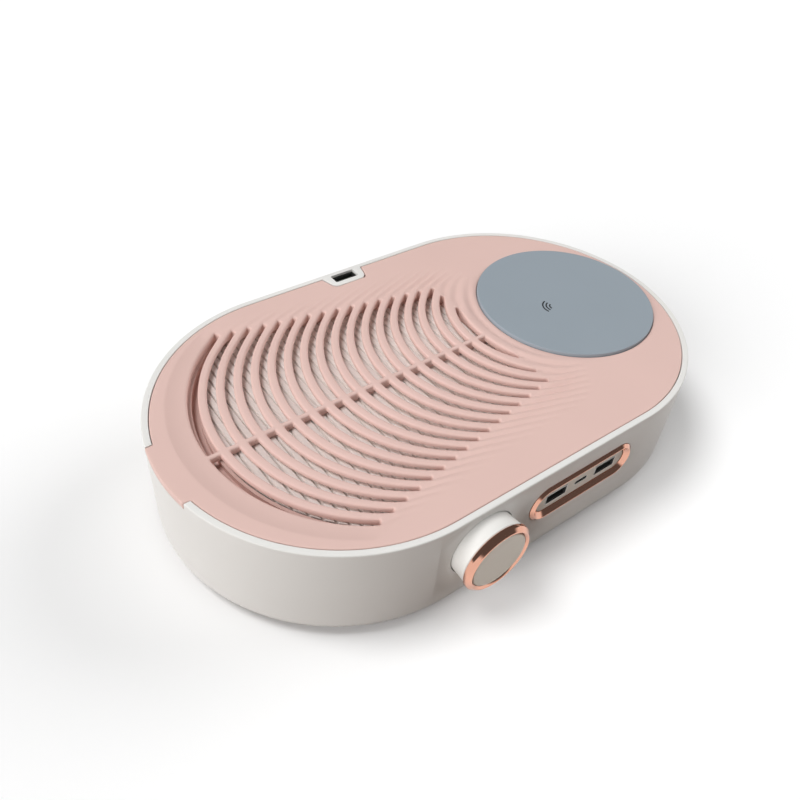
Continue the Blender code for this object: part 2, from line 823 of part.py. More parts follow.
def make_base(origin):
    plate = prism("base_plate", stadium(base_inset + seat_gap), 0, base_thickness, origin, "white_gloss")
    for number, place in enumerate(deck_post_places()[1], 1):
        add_post(plate, f"base_deck_post_{number}", deck_post_radius, base_thickness / 2,
                 deck_low - seat_gap, place, origin)
    for number in range(3):
        angle = math.tau * number / 3
        place = (fan_x + housing_post_ring * math.cos(angle), fan_y + housing_post_ring * math.sin(angle))
        join(plate, rod(f"housing_post_{number + 1}", housing_post_radius, base_thickness / 2,
                        housing_low - seat_gap, place, origin))
    for number, (x, y) in enumerate(four_corners(board_post_x, board_post_y), 1):
        join(plate, rod(f"board_post_{number}", board_post_radius, base_thickness / 2,
                        board_low - seat_gap, (pad_x + x, y), origin))
    for number, place in enumerate(four_corners(foot_x, foot_y), 1):
        cut(plate, rod(f"foot_recess_{number}", foot_radius + seat_gap, -overrun, foot_recess, place, origin,
                       steps=round_steps))
        rod(f"foot_{number}", foot_radius - seat_gap, -foot_height, foot_recess - seat_gap, place, origin,
            "rubber", steps=round_steps, top_radius=foot_radius)
    for number, place in enumerate(four_corners(base_screw_x, base_screw_y), 1):
        sink = screw_head_height + seat_gap
        cut(plate, rod(f"base_screw_hole_{number}", screw_shank_radius + screw_hole_gap, -overrun,
                       base_thickness + overrun, place, origin))
        cut(plate, rod(f"base_screw_sink_{number}", screw_head_radius + screw_hole_gap, -overrun, sink,
                       place, origin))
        make_screw(f"base_screw_{number}", place, sink - seat_gap, -1, origin)
    return plate


def make_screw(name, place, seat, way, origin):
    """Pan-head screw whose head starts at its seat and whose shank runs the other way."""
    tip = seat - way * screw_shank_length
    head = seat + way * screw_head_height
    profile = [(0, head), (screw_head_radius * screw_crown_share, head), (screw_head_radius, seat),
               (screw_shank_radius, seat), (screw_shank_radius, tip), (0, tip)]
    if way < 0:
        profile.reverse()
    return turned(name, profile, origin, "steel", place, pin_steps, closed=False)


def make_deck(origin):
    """Plate over the fan with its inlet, and the walled well that the filter drops into."""
    edge = stadium(wall + deck_gap)
    edge = trimmed(trimmed(edge, 1, deck_front_y, True), 0, deck_right_x, False)
    inlet = circle(inlet_radius, (fan_x, fan_y), knob_steps)
    deck = flat_piece("fan_deck", [edge, inlet], deck_low, deck_top, origin, "inner_plastic")
    outer = field_outline(filter_margin + seat_gap + well_wall)
    inner = field_outline(filter_margin + seat_gap)
    shelf = field_outline(filter_margin + seat_gap - well_ledge)
    join(deck, flat_piece("well_wall", [outer, inner], deck_top - deck_thickness / 2,
                          filter_top + filter_top_gap - 2 * seat_gap, origin))
    join(deck, flat_piece("well_shelf", [field_outline(filter_margin + well_wall / 2), shelf],
                          deck_top - deck_thickness / 2, well_ledge_top, origin))
    lip = circle(inlet_radius + inlet_lip_width, (fan_x, fan_y), knob_steps)
    join(deck, flat_piece("inlet_lip", [lip, inlet], deck_low + deck_thickness / 2,
                          deck_top + inlet_lip_height, origin))
    for number in range(2):
        reach = inlet_radius + inlet_lip_width / 2
        along, across = (reach, guard_bar_width / 2) if number else (guard_bar_width / 2, reach)
        join(deck, block(f"guard_bar_{number + 1}", (fan_x - along, fan_y - across, deck_low + seat_gap),
                         (fan_x + along, fan_y + across, deck_top), origin))
    join(deck, rod("guard_hub", guard_hub_radius, deck_low + seat_gap, deck_top + seat_gap, (fan_x, fan_y),
                   origin, steps=round_steps))
    left, right = deck_post_places()
    for number, place in enumerate(left + right, 1):
        cut(deck, rod(f"deck_hole_{number}", screw_shank_radius + screw_hole_gap, deck_low - overrun,
                      deck_top + overrun, place, origin))
        make_screw(f"deck_screw_{number}", place, deck_top + seat_gap, 1, origin)
    return deck


def scroll_outline(grow):
    """The fan's spiral, growing steadily from the tongue round to the outlet."""
    points = []
    for step in range(scroll_steps + 1):
        share = step / scroll_steps
        angle = tongue_angle + (math.tau - tongue_angle) * share
        radius = scroll_start_radius + (scroll_end_radius - scroll_start_radius) * share + grow
        points.append((fan_x + radius * math.cos(angle), fan_y + radius * math.sin(angle)))
    return points


def make_housing(origin):
    tongue_x = fan_x + scroll_start_radius * math.cos(tongue_angle)
    outlet_y = inner_wall_y - deck_gap
    right_x = fan_x + scroll_end_radius
    floor_top = housing_low + scroll_floor
    housing = prism("fan_housing", scroll_outline(scroll_wall), housing_low, housing_high, origin,
                    "inner_plastic")
    join(housing, block("outlet_duct", (tongue_x - scroll_wall, fan_y, housing_low),
                        (right_x + scroll_wall, outlet_y, housing_high), origin))
    cut(housing, prism("scroll_space", scroll_outline(0), floor_top, housing_high + overrun, origin))
    cut(housing, block("outlet_space", (tongue_x, fan_y + scroll_wall, floor_top),
                       (right_x, outlet_y + overrun, housing_high + overrun), origin))
    return housing


def make_fan(origin):
    """Motor on the housing's floor, and the backward-swept impeller that covers it."""
    axis = empty("fan_axis", (fan_x, fan_y, 0), origin)
    top = motor_top
    bore = shaft_radius + seat_gap
    bore_floor = motor_low + motor_bore_floor
    turned("fan_motor", [(0, bore_floor), (bore, bore_floor), (bore, top), (motor_radius - motor_edge, top),
                         (motor_radius, top - motor_edge), (motor_radius, motor_low), (0, motor_low)],
           axis, "steel", closed=False)
    hub_inner = motor_radius + fan_hub_gap
    hub_outer = hub_inner + fan_hub_wall
    impeller = turned("fan_impeller", [
        (bore, fan_high), (hub_outer, fan_high), (hub_outer, fan_low + fan_plate),
        (fan_radius, fan_low + fan_plate), (fan_radius, fan_low), (hub_inner, fan_low),
        (hub_inner, fan_high - fan_plate), (bore, fan_high - fan_plate)], axis, "inner_plastic",
        steps=knob_steps)
    for number in range(blade_count):
        turn = math.tau * number / blade_count
        join(impeller, prism(f"blade_{number + 1}", blade_outline(turn), fan_low + fan_plate - blade_embed,
                             fan_high - shroud_thickness + blade_embed, axis))
    join(impeller, flat_piece("shroud", [circle(fan_radius, steps=knob_steps),
                                         circle(fan_radius - shroud_width, steps=knob_steps)],
                              fan_high - shroud_thickness, fan_high, axis))
    rod("motor_shaft", shaft_radius, bore_floor + seat_gap, fan_high + shaft_proud, parent=axis,
        finish="steel", steps=pin_steps)


def blade_outline(turn):
    """A thin blade that leans back as it runs out to the rim."""
    sides = []
    for side in (1, -1):
        line = []
        for step in range(blade_steps + 1):
            share = step / blade_steps
            radius = blade_inner_radius + (fan_radius - blade_embed - blade_inner_radius) * share
            angle = turn - blade_sweep * share ** blade_curve_share + side * blade_thickness / 2 / radius
            line.append((radius * math.cos(angle), radius * math.sin(angle)))
        sides.append(line)
    return sides[1] + sides[0][::-1]


def make_filter(origin):
    outer = field_outline(filter_margin)
    inner = field_outline(filter_margin - filter_frame_width)
    frame = flat_piece("filter_frame", [outer, inner], filter_low, filter_top, origin, "white_gloss")
    lip = field_outline(filter_margin - filter_frame_width - filter_lip)
    join(frame, flat_piece("filter_foot", [field_outline(filter_margin - filter_frame_width / 2), lip],
                           filter_low, filter_low + filter_lip, origin))
    flat_piece("filter_seal", [outer, field_outline(filter_margin + seat_gap - well_ledge)], seal_low,
               seal_top, origin, "foam")
    room = field_outline(filter_margin - filter_frame_width - seat_gap)
    left = min(x for x, y in room) - overrun
    count = math.ceil((max(x for x, y in room) + overrun - left) / pleat_pitch)
    low = filter_low + filter_lip + seat_gap
    ridge = []
    for step in range(2 * count + 1):
        rise = pleat_drop + (pleat_height - pleat_drop) * (step % 2)
        ridge.append((left + step * pleat_pitch / 2, low + rise))
    outline = ridge + [(x, z - pleat_drop) for x, z in ridge[::-1]]
    width = max(y for x, y in room) + overrun
    loops = [[(x, y, z) for x, z in outline] for y in (-width, width)]
    pleats = loft("filter_pleats", loops, origin, "white_paper")
    keep_inside(pleats, prism("filter_room", room, low - overrun, filter_top, origin))


def make_cover(origin):
    """The lift-off cover, with its sunk field, flared curved slots and the spine between them."""
    cover = prism("top_cover", stadium(wall + seat_gap), cover_low, body_height, origin, "pink",
                  top_edge=cover_edge)
    join(cover, prism("finger_tab", tab_outline(), cover_low, body_height, origin, top_edge=cover_edge))
    join(cover, prism("grille_block", field_outline(grille_margin), grille_low,
                      cover_low + cover_thickness / 2, origin))
    crease = crease_outline()
    inner = field_outline(dish_inner_margin)
    lift = 2 * cover_edge
    loops = [[(x, y, min(dish_z(x), body_height)) for x, y in inner],
             [(x, y, body_height) for x, y in crease],
             [(x, y, body_height + lift) for x, y in crease]]
    cut(cover, loft("dish", loops, origin))
    for index in range(slot_count):
        for side in (-1, 1):
            cut(cover, loft(f"slot_{index + 1}_{'front' if side < 0 else 'back'}", slot_half(index, side),
                            origin))
    grow = seat_gap
    notch = prism("lamp_notch", lamp_outline(grow), cover_low - overrun, body_height + overrun, origin,
                  side_edge=lamp_corner)
    outer = block("lamp_notch_mouth", (-lamp_rim_half - grow, inner_wall_y - 2 * seat_gap,
                                       cover_low - overrun),
                  (lamp_rim_half + grow, half_width, body_height + overrun), origin)
    cut(cover, notch, outer)
    cut(cover, rod("pad_seat", pad_radius + seat_gap, body_height - pad_recess, body_height + overrun,
                   (pad_x, 0), origin, steps=pad_steps))
    pocket = magnet_thickness + magnet_depth + seat_gap
    for number, place in enumerate(magnet_places(), 1):
        cut(cover, rod(f"cover_magnet_pocket_{number}", magnet_radius + seat_gap, cover_low - overrun,
                       cover_low + pocket, place, origin))
        rod(f"cover_magnet_{number}", magnet_radius, cover_low + magnet_depth,
            cover_low + magnet_depth + magnet_thickness, place, origin, "steel")
        rod(f"shell_magnet_{number}", magnet_radius, ledge_top - magnet_depth - magnet_thickness,
            ledge_top - magnet_depth, place, origin, "steel")
    pad_low = body_height - pad_recess + seat_gap
    pad_high = body_height + pad_proud
    turned("charging_pad", [(0, pad_high), (pad_radius - pad_edge, pad_high),
                            (pad_radius, pad_high - pad_edge), (pad_radius, pad_low), (0, pad_low)],
           origin, "slate", (pad_x, 0), pad_steps, closed=False)


def make_knob(origin):
    """Knob, its bright ring and face, and the speed control that its shaft turns."""
    axis = empty("knob_axis", (knob_x, -half_width, knob_z), origin, (math.pi / 2, 0, 0))
    bore = pot_shaft_radius + seat_gap
    ring_bore = knob_spigot_radius + seat_gap
    inner = knob_root_radius - knob_wall
    turned("knob_body", [
        (0, spigot_front), (knob_spigot_radius, spigot_front),
        (knob_spigot_radius, ring_start - seat_gap), (knob_flare_radius, ring_start - seat_gap),
        (knob_root_radius, 0), (knob_root_radius, -knob_root_depth), (inner, -knob_root_depth),
        (inner, knob_cavity_top), (knob_boss_outer, knob_cavity_top),
        (knob_boss_outer, -knob_boss_start), (bore, -knob_boss_start), (bore, knob_bore_top),
        (0, knob_bore_top)], axis, "white_gloss", steps=knob_steps, closed=False)
    back = spigot_front + seat_gap
    turned("knob_ring", [
        (ring_bore, back), (ring_bore, ring_start), (ring_radius, ring_start),
        (ring_radius, ring_front - ring_round), (ring_radius - ring_round / 3, ring_front - ring_round / 3),
        (ring_radius - ring_round, ring_front), (ring_inner_radius + ring_round / 2, ring_front),
        (ring_inner_radius, ring_front - ring_round / 2), (ring_inner_radius, back)][::-1], axis,
        "rose_gold", steps=knob_steps)
    rod("knob_face", face_radius, back, back + face_thickness, parent=axis, finish="warm_grey",
        steps=knob_steps)
    front = -knob_boss_back - seat_gap
    bore_floor = front - pot_shaft_depth - seat_gap
    bushing_top = bushing_front - knob_pocket_depth
    pot = turned("speed_control", [
        (0, bore_floor), (bore, bore_floor), (bore, bushing_top), (bushing_radius, bushing_top),
        (bushing_radius, front), (pot_radius, front), (pot_radius, front - pot_depth),
        (0, front - pot_depth)], axis, "steel", closed=False)
    for number in (-1, 0, 1):
        x = number * pot_lug_pitch
        join(pot, block(f"pot_lug_{number + 2}", (x - pot_lug_width / 2, -pot_radius - pot_lug_length,
                                                  front - pot_depth / 2 - pot_lug_thickness),
                        (x + pot_lug_width / 2, -pot_radius / 2, front - pot_depth / 2), axis))
    rod("control_shaft", pot_shaft_radius, front - pot_shaft_depth, knob_bore_top - seat_gap, parent=axis,
        finish="steel", steps=round_steps)
    nut = [circle(pot_nut_radius, steps=6), circle(bushing_radius + seat_gap)]
    flat_piece("control_nut", nut, -knob_pocket_depth + seat_gap,
               -knob_pocket_depth + seat_gap + pot_nut_thickness, axis, "steel")


def make_ports(origin):
    """Bright bezel, grey port panel and the three sockets on their board."""
    axis = empty("port_axis", (port_x, -half_width, port_z), origin, (math.pi / 2, 0, 0))
    steps = round_steps // 2
    rim = racetrack(bezel_length, bezel_height, steps)
    window = racetrack(bezel_window_length, bezel_window_height, steps)
    bezel = prism("port_bezel", rim, seat_gap - bezel_seat_depth, bezel_proud, axis, "rose_gold",
                  top_edge=bezel_round)
    cut(bezel, prism("bezel_window", window, -wall, overrun, axis))
    panel = prism("port_panel", racetrack(panel_length, panel_height, steps), panel_back,
                  -bezel_seat_depth, axis, "panel_grey")
    face = racetrack(bezel_window_length - 2 * seat_gap, bezel_window_height - 2 * seat_gap, steps)
    join(panel, prism("panel_face", face, panel_back + panel_flange / 2, panel_front, axis))
    slot = rounded_box(usb_width - 2 * usb_wall, usb_height - 2 * usb_wall, usb_wall, 2)
    for number, side in enumerate((-1, 1), 1):
        mouth = empty(f"usb_axis_{number}", (side * usb_spacing, 0, usb_mouth), axis)
        cut(panel, prism(f"usb_slot_{number}", slot, -overrun, 2 * overrun + panel_thickness, mouth))
        make_usb(f"usb_socket_{number}", mouth)
    mouth = empty("usb_c_axis", (0, 0, usb_mouth), axis)
    cut(panel, prism("usb_c_slot", racetrack(usb_c_width - 2 * usb_c_wall, usb_c_height - 2 * usb_c_wall, 4),
                     -overrun, 2 * overrun + panel_thickness, mouth))
    body = prism("usb_c_socket", racetrack(usb_c_width, usb_c_height, 4), -usb_c_depth, 0, mouth, "steel")
    join(body, block("usb_c_stand", (-usb_c_width / 3, -usb_height / 2, -usb_c_depth),
                     (usb_c_width / 3, 0, -usb_c_wall), mouth))
    cut(body, prism("usb_c_bore", racetrack(usb_c_width - 2 * usb_c_wall, usb_c_height - 2 * usb_c_wall, 4),
                    usb_c_wall - usb_c_depth, overrun, mouth))
    block("usb_c_tongue", (-usb_c_tongue_width / 2, -usb_c_tongue_thickness / 2,
                           usb_c_wall - usb_c_depth + seat_gap),
          (usb_c_tongue_width / 2, usb_c_tongue_thickness / 2, usb_c_tongue_length - usb_c_depth), mouth,
          "socket_black")
    back = -(inner_wall_y - port_board_setback)
    board = block("port_board", (port_x - port_board_length / 2, back, port_board_top - board_thickness),
                  (port_x + port_board_length / 2, back + port_board_depth, port_board_top), origin,
                  "board_green")
    return board


def make_usb(name, mouth):
    """A receptacle: a pressed steel shell open at its mouth, and the contact tongue in it."""
    shell = block(name, (-usb_width / 2, -usb_height / 2, -usb_depth), (usb_width / 2, usb_height / 2, 0),
                  mouth, "steel")
    cut(shell, block(f"{name}_bore", (usb_wall - usb_width / 2, usb_wall - usb_height / 2,
                                      usb_back - usb_depth),
                     (usb_width / 2 - usb_wall, usb_height / 2 - usb_wall, overrun), mouth))
    low = usb_back - usb_depth + seat_gap
    block(f"{name}_tongue", (-usb_tongue_width / 2, usb_tongue_offset - usb_tongue_thickness / 2, low),
          (usb_tongue_width / 2, usb_tongue_offset + usb_tongue_thickness / 2, low + usb_tongue_length),
          mouth, "socket_black")


def make_lamp_socket(origin):
    mouth = empty("lamp_axis", (0, lamp_socket_y, body_height - lamp_socket_sink), origin, (0, 0, math.pi))
    make_usb("lamp_socket", mouth)


def make_power(origin):
    """Battery tray and cells, the control board on its posts and the coil that sits on it."""
    battery = empty("battery_axis", (battery_x, 0, 0), origin)
    outer_x, outer_y = tray_half_x + tray_wall, tray_half_y + tray_wall
    tray = block("battery_tray", (-outer_x, -outer_y, tray_low), (outer_x, outer_y, tray_low + tray_height),
                 battery, "inner_plastic")
    cut(tray, block("tray_space", (-tray_half_x, -tray_half_y, tray_low + tray_floor),
                    (tray_half_x, tray_half_y, tray_low + tray_height + overrun), battery))
    for number in range(cell_count):
        x = (2 * cell_radius + cell_gap) * (number - (cell_count - 1) / 2)
        rest = tray_low + tray_floor + seat_gap + cell_radius
        lying = empty(f"cell_axis_{number + 1}", (x, 0, rest), battery, (math.pi / 2, 0, 0))
        cap = cell_length / 2 + cell_cap_height
        turned(f"battery_cell_{number + 1}", [
            (0, cap), (cell_cap_radius, cap), (cell_cap_radius, cell_length / 2),
            (cell_radius, cell_length / 2), (cell_radius, -cell_length / 2), (0, -cell_length / 2)], lying,
            "battery_wrap", closed=False)
    axis = empty("power_axis", (pad_x, 0, 0), origin)
    top = board_low + board_thickness
    board = block("main_board", (-board_length / 2, -board_width / 2, board_low),
                  (board_length / 2, board_width / 2, top), axis, "board_green")
    for number, (x, y) in enumerate(four_corners(capacitor_x, capacitor_y), 1):
        join(board, rod(f"capacitor_{number}", capacitor_radius, top - board_thickness / 2,
                        top + capacitor_height, (x, y), axis))
    join(board, block("chip", (-chip_size / 2, -chip_size / 2, top - board_thickness / 2),
                      (chip_size / 2, chip_size / 2, top + chip_height), axis))
    carrier_top = cover_low - coil_cover_gap
    carrier_low = carrier_top - coil_carrier_height
    floor_top = carrier_low + coil_carrier_floor
    rim = coil_carrier_radius - coil_carrier_wall
    carrier = turned("coil_carrier", [
        (0, floor_top), (rim, floor_top), (rim, carrier_top), (coil_carrier_radius, carrier_top),
        (coil_carrier_radius, carrier_low), (0, carrier_low)], axis, "inner_plastic", closed=False,
        steps=knob_steps)
    for number, place in enumerate(four_corners(coil_leg_spread, coil_leg_spread), 1):
        join(carrier, rod(f"coil_leg_{number}", coil_leg_radius, top + seat_gap,
                          carrier_low + coil_carrier_floor / 2, place, axis))
    ferrite_low = floor_top + seat_gap
    rod("ferrite_sheet", rim - seat_gap, ferrite_low, ferrite_low + ferrite_thickness, parent=axis,
        finish="ferrite", steps=knob_steps)
    coil_low = ferrite_low + ferrite_thickness + seat_gap
    flat_piece("charging_coil", [circle(rim - coil_margin, steps=knob_steps),
                                 circle(coil_inner_radius, steps=knob_steps)], coil_low,
               coil_low + coil_thickness, axis, "copper")


def build():
    clear_scene()
    origin = empty("unit_origin", (0, ring_front / 2, foot_height))
    make_shell(origin)
    make_base(origin)
    make_housing(origin)
    make_fan(origin)
    make_deck(origin)
    make_filter(origin)
    make_cover(origin)
    make_knob(origin)
    make_ports(origin)
    make_lamp_socket(origin)
    make_power(origin)


build()
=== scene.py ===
import math
import bpy
import json
import numpy as np
from mathutils import Matrix, Vector
from mathutils.geometry import delaunay_2d_cdt
from mathutils.kdtree import KDTree


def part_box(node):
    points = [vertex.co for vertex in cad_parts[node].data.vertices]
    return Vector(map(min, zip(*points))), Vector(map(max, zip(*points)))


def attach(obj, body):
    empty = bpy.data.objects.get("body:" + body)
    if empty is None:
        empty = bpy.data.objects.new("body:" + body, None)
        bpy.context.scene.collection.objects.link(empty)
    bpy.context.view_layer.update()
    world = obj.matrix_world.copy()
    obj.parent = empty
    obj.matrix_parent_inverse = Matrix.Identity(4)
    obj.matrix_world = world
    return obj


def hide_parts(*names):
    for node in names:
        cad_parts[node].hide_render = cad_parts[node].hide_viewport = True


# Nail dust collector: the looks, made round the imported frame. Lengths are in metres.
# Pieces are modelled about the middle of the body's underside, then settled on the frame.
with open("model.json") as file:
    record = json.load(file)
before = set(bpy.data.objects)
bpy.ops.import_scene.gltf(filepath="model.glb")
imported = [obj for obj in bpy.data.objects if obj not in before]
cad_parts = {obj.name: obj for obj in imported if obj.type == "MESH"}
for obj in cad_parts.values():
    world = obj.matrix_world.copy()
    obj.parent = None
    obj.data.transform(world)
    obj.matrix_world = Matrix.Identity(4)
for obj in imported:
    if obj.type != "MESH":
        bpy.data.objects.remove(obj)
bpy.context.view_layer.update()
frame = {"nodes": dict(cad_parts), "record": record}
nodes = frame["nodes"]
shellLow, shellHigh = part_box("body_shell")
unitPlace = Vector(((shellLow.x + shellHigh.x) / 2, (shellLow.y + shellHigh.y) / 2, shellLow.z))
print("frame loaded:", len(nodes), "nodes")

body = {
    "length": 0.2800,
    "width": 0.1693,
    "height": 0.0524,
    "wall": 0.0029,
    "gap": 0.0003,
}
halfLength = body["length"] / 2
halfWidth = body["width"] / 2
endX = halfLength - halfWidth
topZ = body["height"]


# Camera at the photograph's place: measured turn, tilt and roll about the middle of the body
view = {
    "turn": -40.91,
    "tilt": 42.69,
    "roll": 5.89,
    "distance": 1.4405,     # these three in body lengths
    "shiftRight": -0.0549,
    "shiftUp": 0.0564,
    "lens": 34.68,
}


def setCamera():
    turn, tilt, roll = (math.radians(view[name]) for name in ("turn", "tilt", "roll"))
    back = Vector((math.sin(turn) * math.cos(tilt), -math.cos(turn) * math.cos(tilt), math.sin(tilt)))
    right = Vector((math.cos(turn), math.sin(turn), 0))
    up = right.cross(-back)
    place = back * view["distance"] + right * view["shiftRight"] + up * view["shiftUp"]
    bpy.ops.object.camera_add(location=place * body["length"] + unitPlace)
    camera = bpy.context.object
    camera.name = "camera"
    camera.rotation_mode = "QUATERNION"
    rolledRight = right * math.cos(roll) + up * math.sin(roll)
    rolledUp = up * math.cos(roll) - right * math.sin(roll)
    camera.rotation_quaternion = Matrix((rolledRight, rolledUp, back)).transposed().to_quaternion()
    camera.data.lens = view["lens"]
    camera.data.sensor_width = 36
    camera.data.clip_start = 0.01
    bpy.context.scene.camera = camera


# Floor, world and lamps: a wide lamp on the left, a weak one on the right and a soft one overhead
studio = {
    "floorSize": 6.0,
    "floorSeen": (0.98, 0.98, 0.98, 1),
    "floorBounce": (0.17, 0.10, 0.06, 1),
    "skySeen": 1.0,
    "skyLight": 0.05,
    "ceiling": 0.12,         # what polished metal sees overhead, the backdrop round it is white
    "lamps": (               # name, strength, softness, tilt from overhead and side it comes from, in degrees
        ("keyLamp", 2.35, 45, 68, (-1.00, -0.15)),
        ("fillLamp", 1.90, 45, 64, (1.00, -0.12)),
        ("topLamp", 1.62, 25, 28, (-0.80, 0.60)),
    ),
}


def lightPath(tree, *names):
    path = tree.nodes.new("ShaderNodeLightPath")
    total = path.outputs[names[0]]
    for name in names[1:]:
        either = tree.nodes.new("ShaderNodeMath")
        either.operation = "MAXIMUM"
        tree.links.new(total, either.inputs[0])
        tree.links.new(path.outputs[name], either.inputs[1])
        total = either.outputs[0]
    return total


def makeFloor():
    bpy.ops.mesh.primitive_plane_add(size=studio["floorSize"])
    floor = bpy.context.object
    floor.name = "floor"
    surface = bpy.data.materials.new("floorPale")
    surface.use_nodes = True
    tree = surface.node_tree
    tree.nodes.remove(tree.nodes["Principled BSDF"])
    tone = tree.nodes.new("ShaderNodeMix")
    tone.data_type = "RGBA"
    tone.inputs["A"].default_value = studio["floorBounce"]
    tone.inputs["B"].default_value = studio["floorSeen"]
    seen = lightPath(tree, "Is Camera Ray", "Is Glossy Ray", "Is Transmission Ray")
    tree.links.new(seen, tone.inputs["Factor"])
    matte = tree.nodes.new("ShaderNodeBsdfDiffuse")
    tree.links.new(tone.outputs["Result"], matte.inputs["Color"])
    tree.links.new(matte.outputs[0], tree.nodes["Material Output"].inputs["Surface"])
    floor.data.materials.append(surface)


def makeWorld():
    world = bpy.data.worlds.new("studio")
    world.use_nodes = True
    bpy.context.scene.world = world
    tree = world.node_tree
    sky = tree.nodes["Background"]
    sky.inputs["Color"].default_value = (1, 1, 1, 1)
    way = tree.nodes.new("ShaderNodeTexCoord")
    axes = tree.nodes.new("ShaderNodeSeparateXYZ")
    tree.links.new(way.outputs["Generated"], axes.inputs[0])
    backdrop = tree.nodes.new("ShaderNodeMapRange")
    backdrop.interpolation_type = "SMOOTHSTEP"
    backdrop.inputs["From Min"].default_value = 0.0
    backdrop.inputs["From Max"].default_value = 0.15
    backdrop.inputs["To Min"].default_value = studio["skySeen"]
    backdrop.inputs["To Max"].default_value = studio["ceiling"]
    tree.links.new(axes.outputs["Z"], backdrop.inputs["Value"])
    level = studio["skyLight"]
    for names, value in ((("Is Glossy Ray",), backdrop.outputs["Result"]),
                         (("Is Camera Ray", "Is Transmission Ray"), studio["skySeen"])):
        blend = tree.nodes.new("ShaderNodeMix")
        for socket, source in (("A", level), ("B", value)):
            if isinstance(source, float):
                blend.inputs[socket].default_value = source
            else:
                tree.links.new(source, blend.inputs[socket])
        tree.links.new(lightPath(tree, *names), blend.inputs["Factor"])
        level = blend.outputs["Result"]
    tree.links.new(level, sky.inputs["Strength"])


def makeLamps():
    for name, strength, softness, tilt, side in studio["lamps"]:
        bpy.ops.object.light_add(type="SUN")
        lamp = bpy.context.object
        lamp.name = name
        lamp.data.energy = strength
        lamp.data.angle = math.radians(softness)
        lamp.visible_glossy = False
        flat = Vector((*side, 0)).normalized() * math.sin(math.radians(tilt))
        towards = flat + Vector((0, 0, math.cos(math.radians(tilt))))
        lamp.rotation_mode = "QUATERNION"
        lamp.rotation_quaternion = towards.to_track_quat("Z", "Y")
    bpy.context.scene.view_settings.view_transform = "Standard"


# Finishes: moulded and plated surfaces with fine grain from Object coordinates
finishes = {
    "shellWhite": {"colour": (0.780, 0.770, 0.745), "rough": 0.30, "specular": 0.35, "grain": 900, "bump": 0.03},
    "coverPink": {"colour": (0.735, 0.520, 0.470), "rough": 0.40, "grain": 1400, "bump": 0.05},
    "padSlate": {"colour": (0.300, 0.345, 0.385), "rough": 0.50, "grain": 2600, "bump": 0.08},
    "roseGold": {"colour": (0.760, 0.400, 0.290), "rough": 0.08, "metal": 1, "grain": 500, "bump": 0.01},
    "knobGrey": {"colour": (0.960, 0.920, 0.820), "rough": 0.35, "grain": 1500, "bump": 0.04},
    "portGrey": {"colour": (0.800, 0.760, 0.690), "rough": 0.45, "grain": 1500, "bump": 0.05},
    "steel": {"colour": (0.620, 0.610, 0.590), "rough": 0.25, "metal": 1, "grain": 700, "bump": 0.04},
    "socketDark": {"colour": (0.020, 0.020, 0.020), "rough": 0.50, "grain": 1800, "bump": 0.05},
    "tongueGrey": {"colour": (0.110, 0.115, 0.100), "rough": 0.45, "grain": 1500, "bump": 0.05},
    # Filter sheet colour: a pale paper tone, plus a warm pink tint that is painted bounce light from the lid's pink
    # ribs in the shaded slots
    "filterPaperPaintedBounce": {"colour": (0.985, 0.910, 0.870), "rough": 0.90, "grain": 2200, "bump": 0.35},
    "foam": {"colour": (0.060, 0.060, 0.060), "rough": 0.95, "grain": 1600, "bump": 0.60},
    "footRubber": {"colour": (0.045, 0.045, 0.045), "rough": 0.75, "grain": 1500, "bump": 0.20},
    "innerPlastic": {"colour": (0.560, 0.560, 0.550), "rough": 0.45, "grain": 1100, "bump": 0.08},
    "boardGreen": {"colour": (0.030, 0.160, 0.060), "rough": 0.40, "grain": 600, "bump": 0.10},
    "copperWire": {"colour": (0.760, 0.360, 0.190), "rough": 0.28, "metal": 1, "grain": 400, "bump": 0.10},
    "ferriteDark": {"colour": (0.090, 0.090, 0.095), "rough": 0.60, "grain": 900, "bump": 0.10},
    "cellWrap": {"colour": (0.080, 0.200, 0.420), "rough": 0.30, "grain": 500, "bump": 0.05},
}
made = {}


# A Principled surface whose colour, roughness and relief vary finely over the piece
def finish(name):
    if name in made:
        return made[name]
    look = finishes[name]
    surface = bpy.data.materials.new(name)
    surface.use_nodes = True
    tree = surface.node_tree
    link = tree.links.new
    shader = tree.nodes["Principled BSDF"]
    shader.inputs["Metallic"].default_value = look.get("metal", 0)
    shader.inputs["Specular IOR Level"].default_value = look.get("specular", 0.5)
    place = tree.nodes.new("ShaderNodeTexCoord")
    grain = tree.nodes.new("ShaderNodeTexNoise")
    grain.inputs["Scale"].default_value = look["grain"]
    grain.inputs["Detail"].default_value = 3
    cloud = tree.nodes.new("ShaderNodeTexNoise")
    cloud.inputs["Scale"].default_value = 24
    cloud.inputs["Detail"].default_value = 2
    link(place.outputs["Object"], grain.inputs["Vector"])
    link(place.outputs["Object"], cloud.inputs["Vector"])
    tone = tree.nodes.new("ShaderNodeMix")
    tone.data_type = "RGBA"
    tone.inputs["A"].default_value = (*[c * 0.97 for c in look["colour"]], 1)
    tone.inputs["B"].default_value = (*[min(1, c * 1.03) for c in look["colour"]], 1)
    link(cloud.outputs["Fac"], tone.inputs["Factor"])
    link(tone.outputs["Result"], shader.inputs["Base Color"])
    rough = tree.nodes.new("ShaderNodeMapRange")
    rough.inputs["To Min"].default_value = look["rough"] * 0.88
    rough.inputs["To Max"].default_value = min(1, look["rough"] * 1.12)
    link(grain.outputs["Fac"], rough.inputs["Value"])
    link(rough.outputs["Result"], shader.inputs["Roughness"])
    bump = tree.nodes.new("ShaderNodeBump")
    bump.inputs["Strength"].default_value = look["bump"]
    bump.inputs["Distance"].default_value = 0.0002
    link(grain.outputs["Fac"], bump.inputs["Height"])
    link(bump.outputs["Normal"], shader.inputs["Normal"])
    made[name] = surface
    return surface


def deselectAll():
    if bpy.context.object and bpy.context.object.mode != "OBJECT":
        bpy.ops.object.mode_set(mode="OBJECT")
    bpy.ops.object.select_all(action="DESELECT")


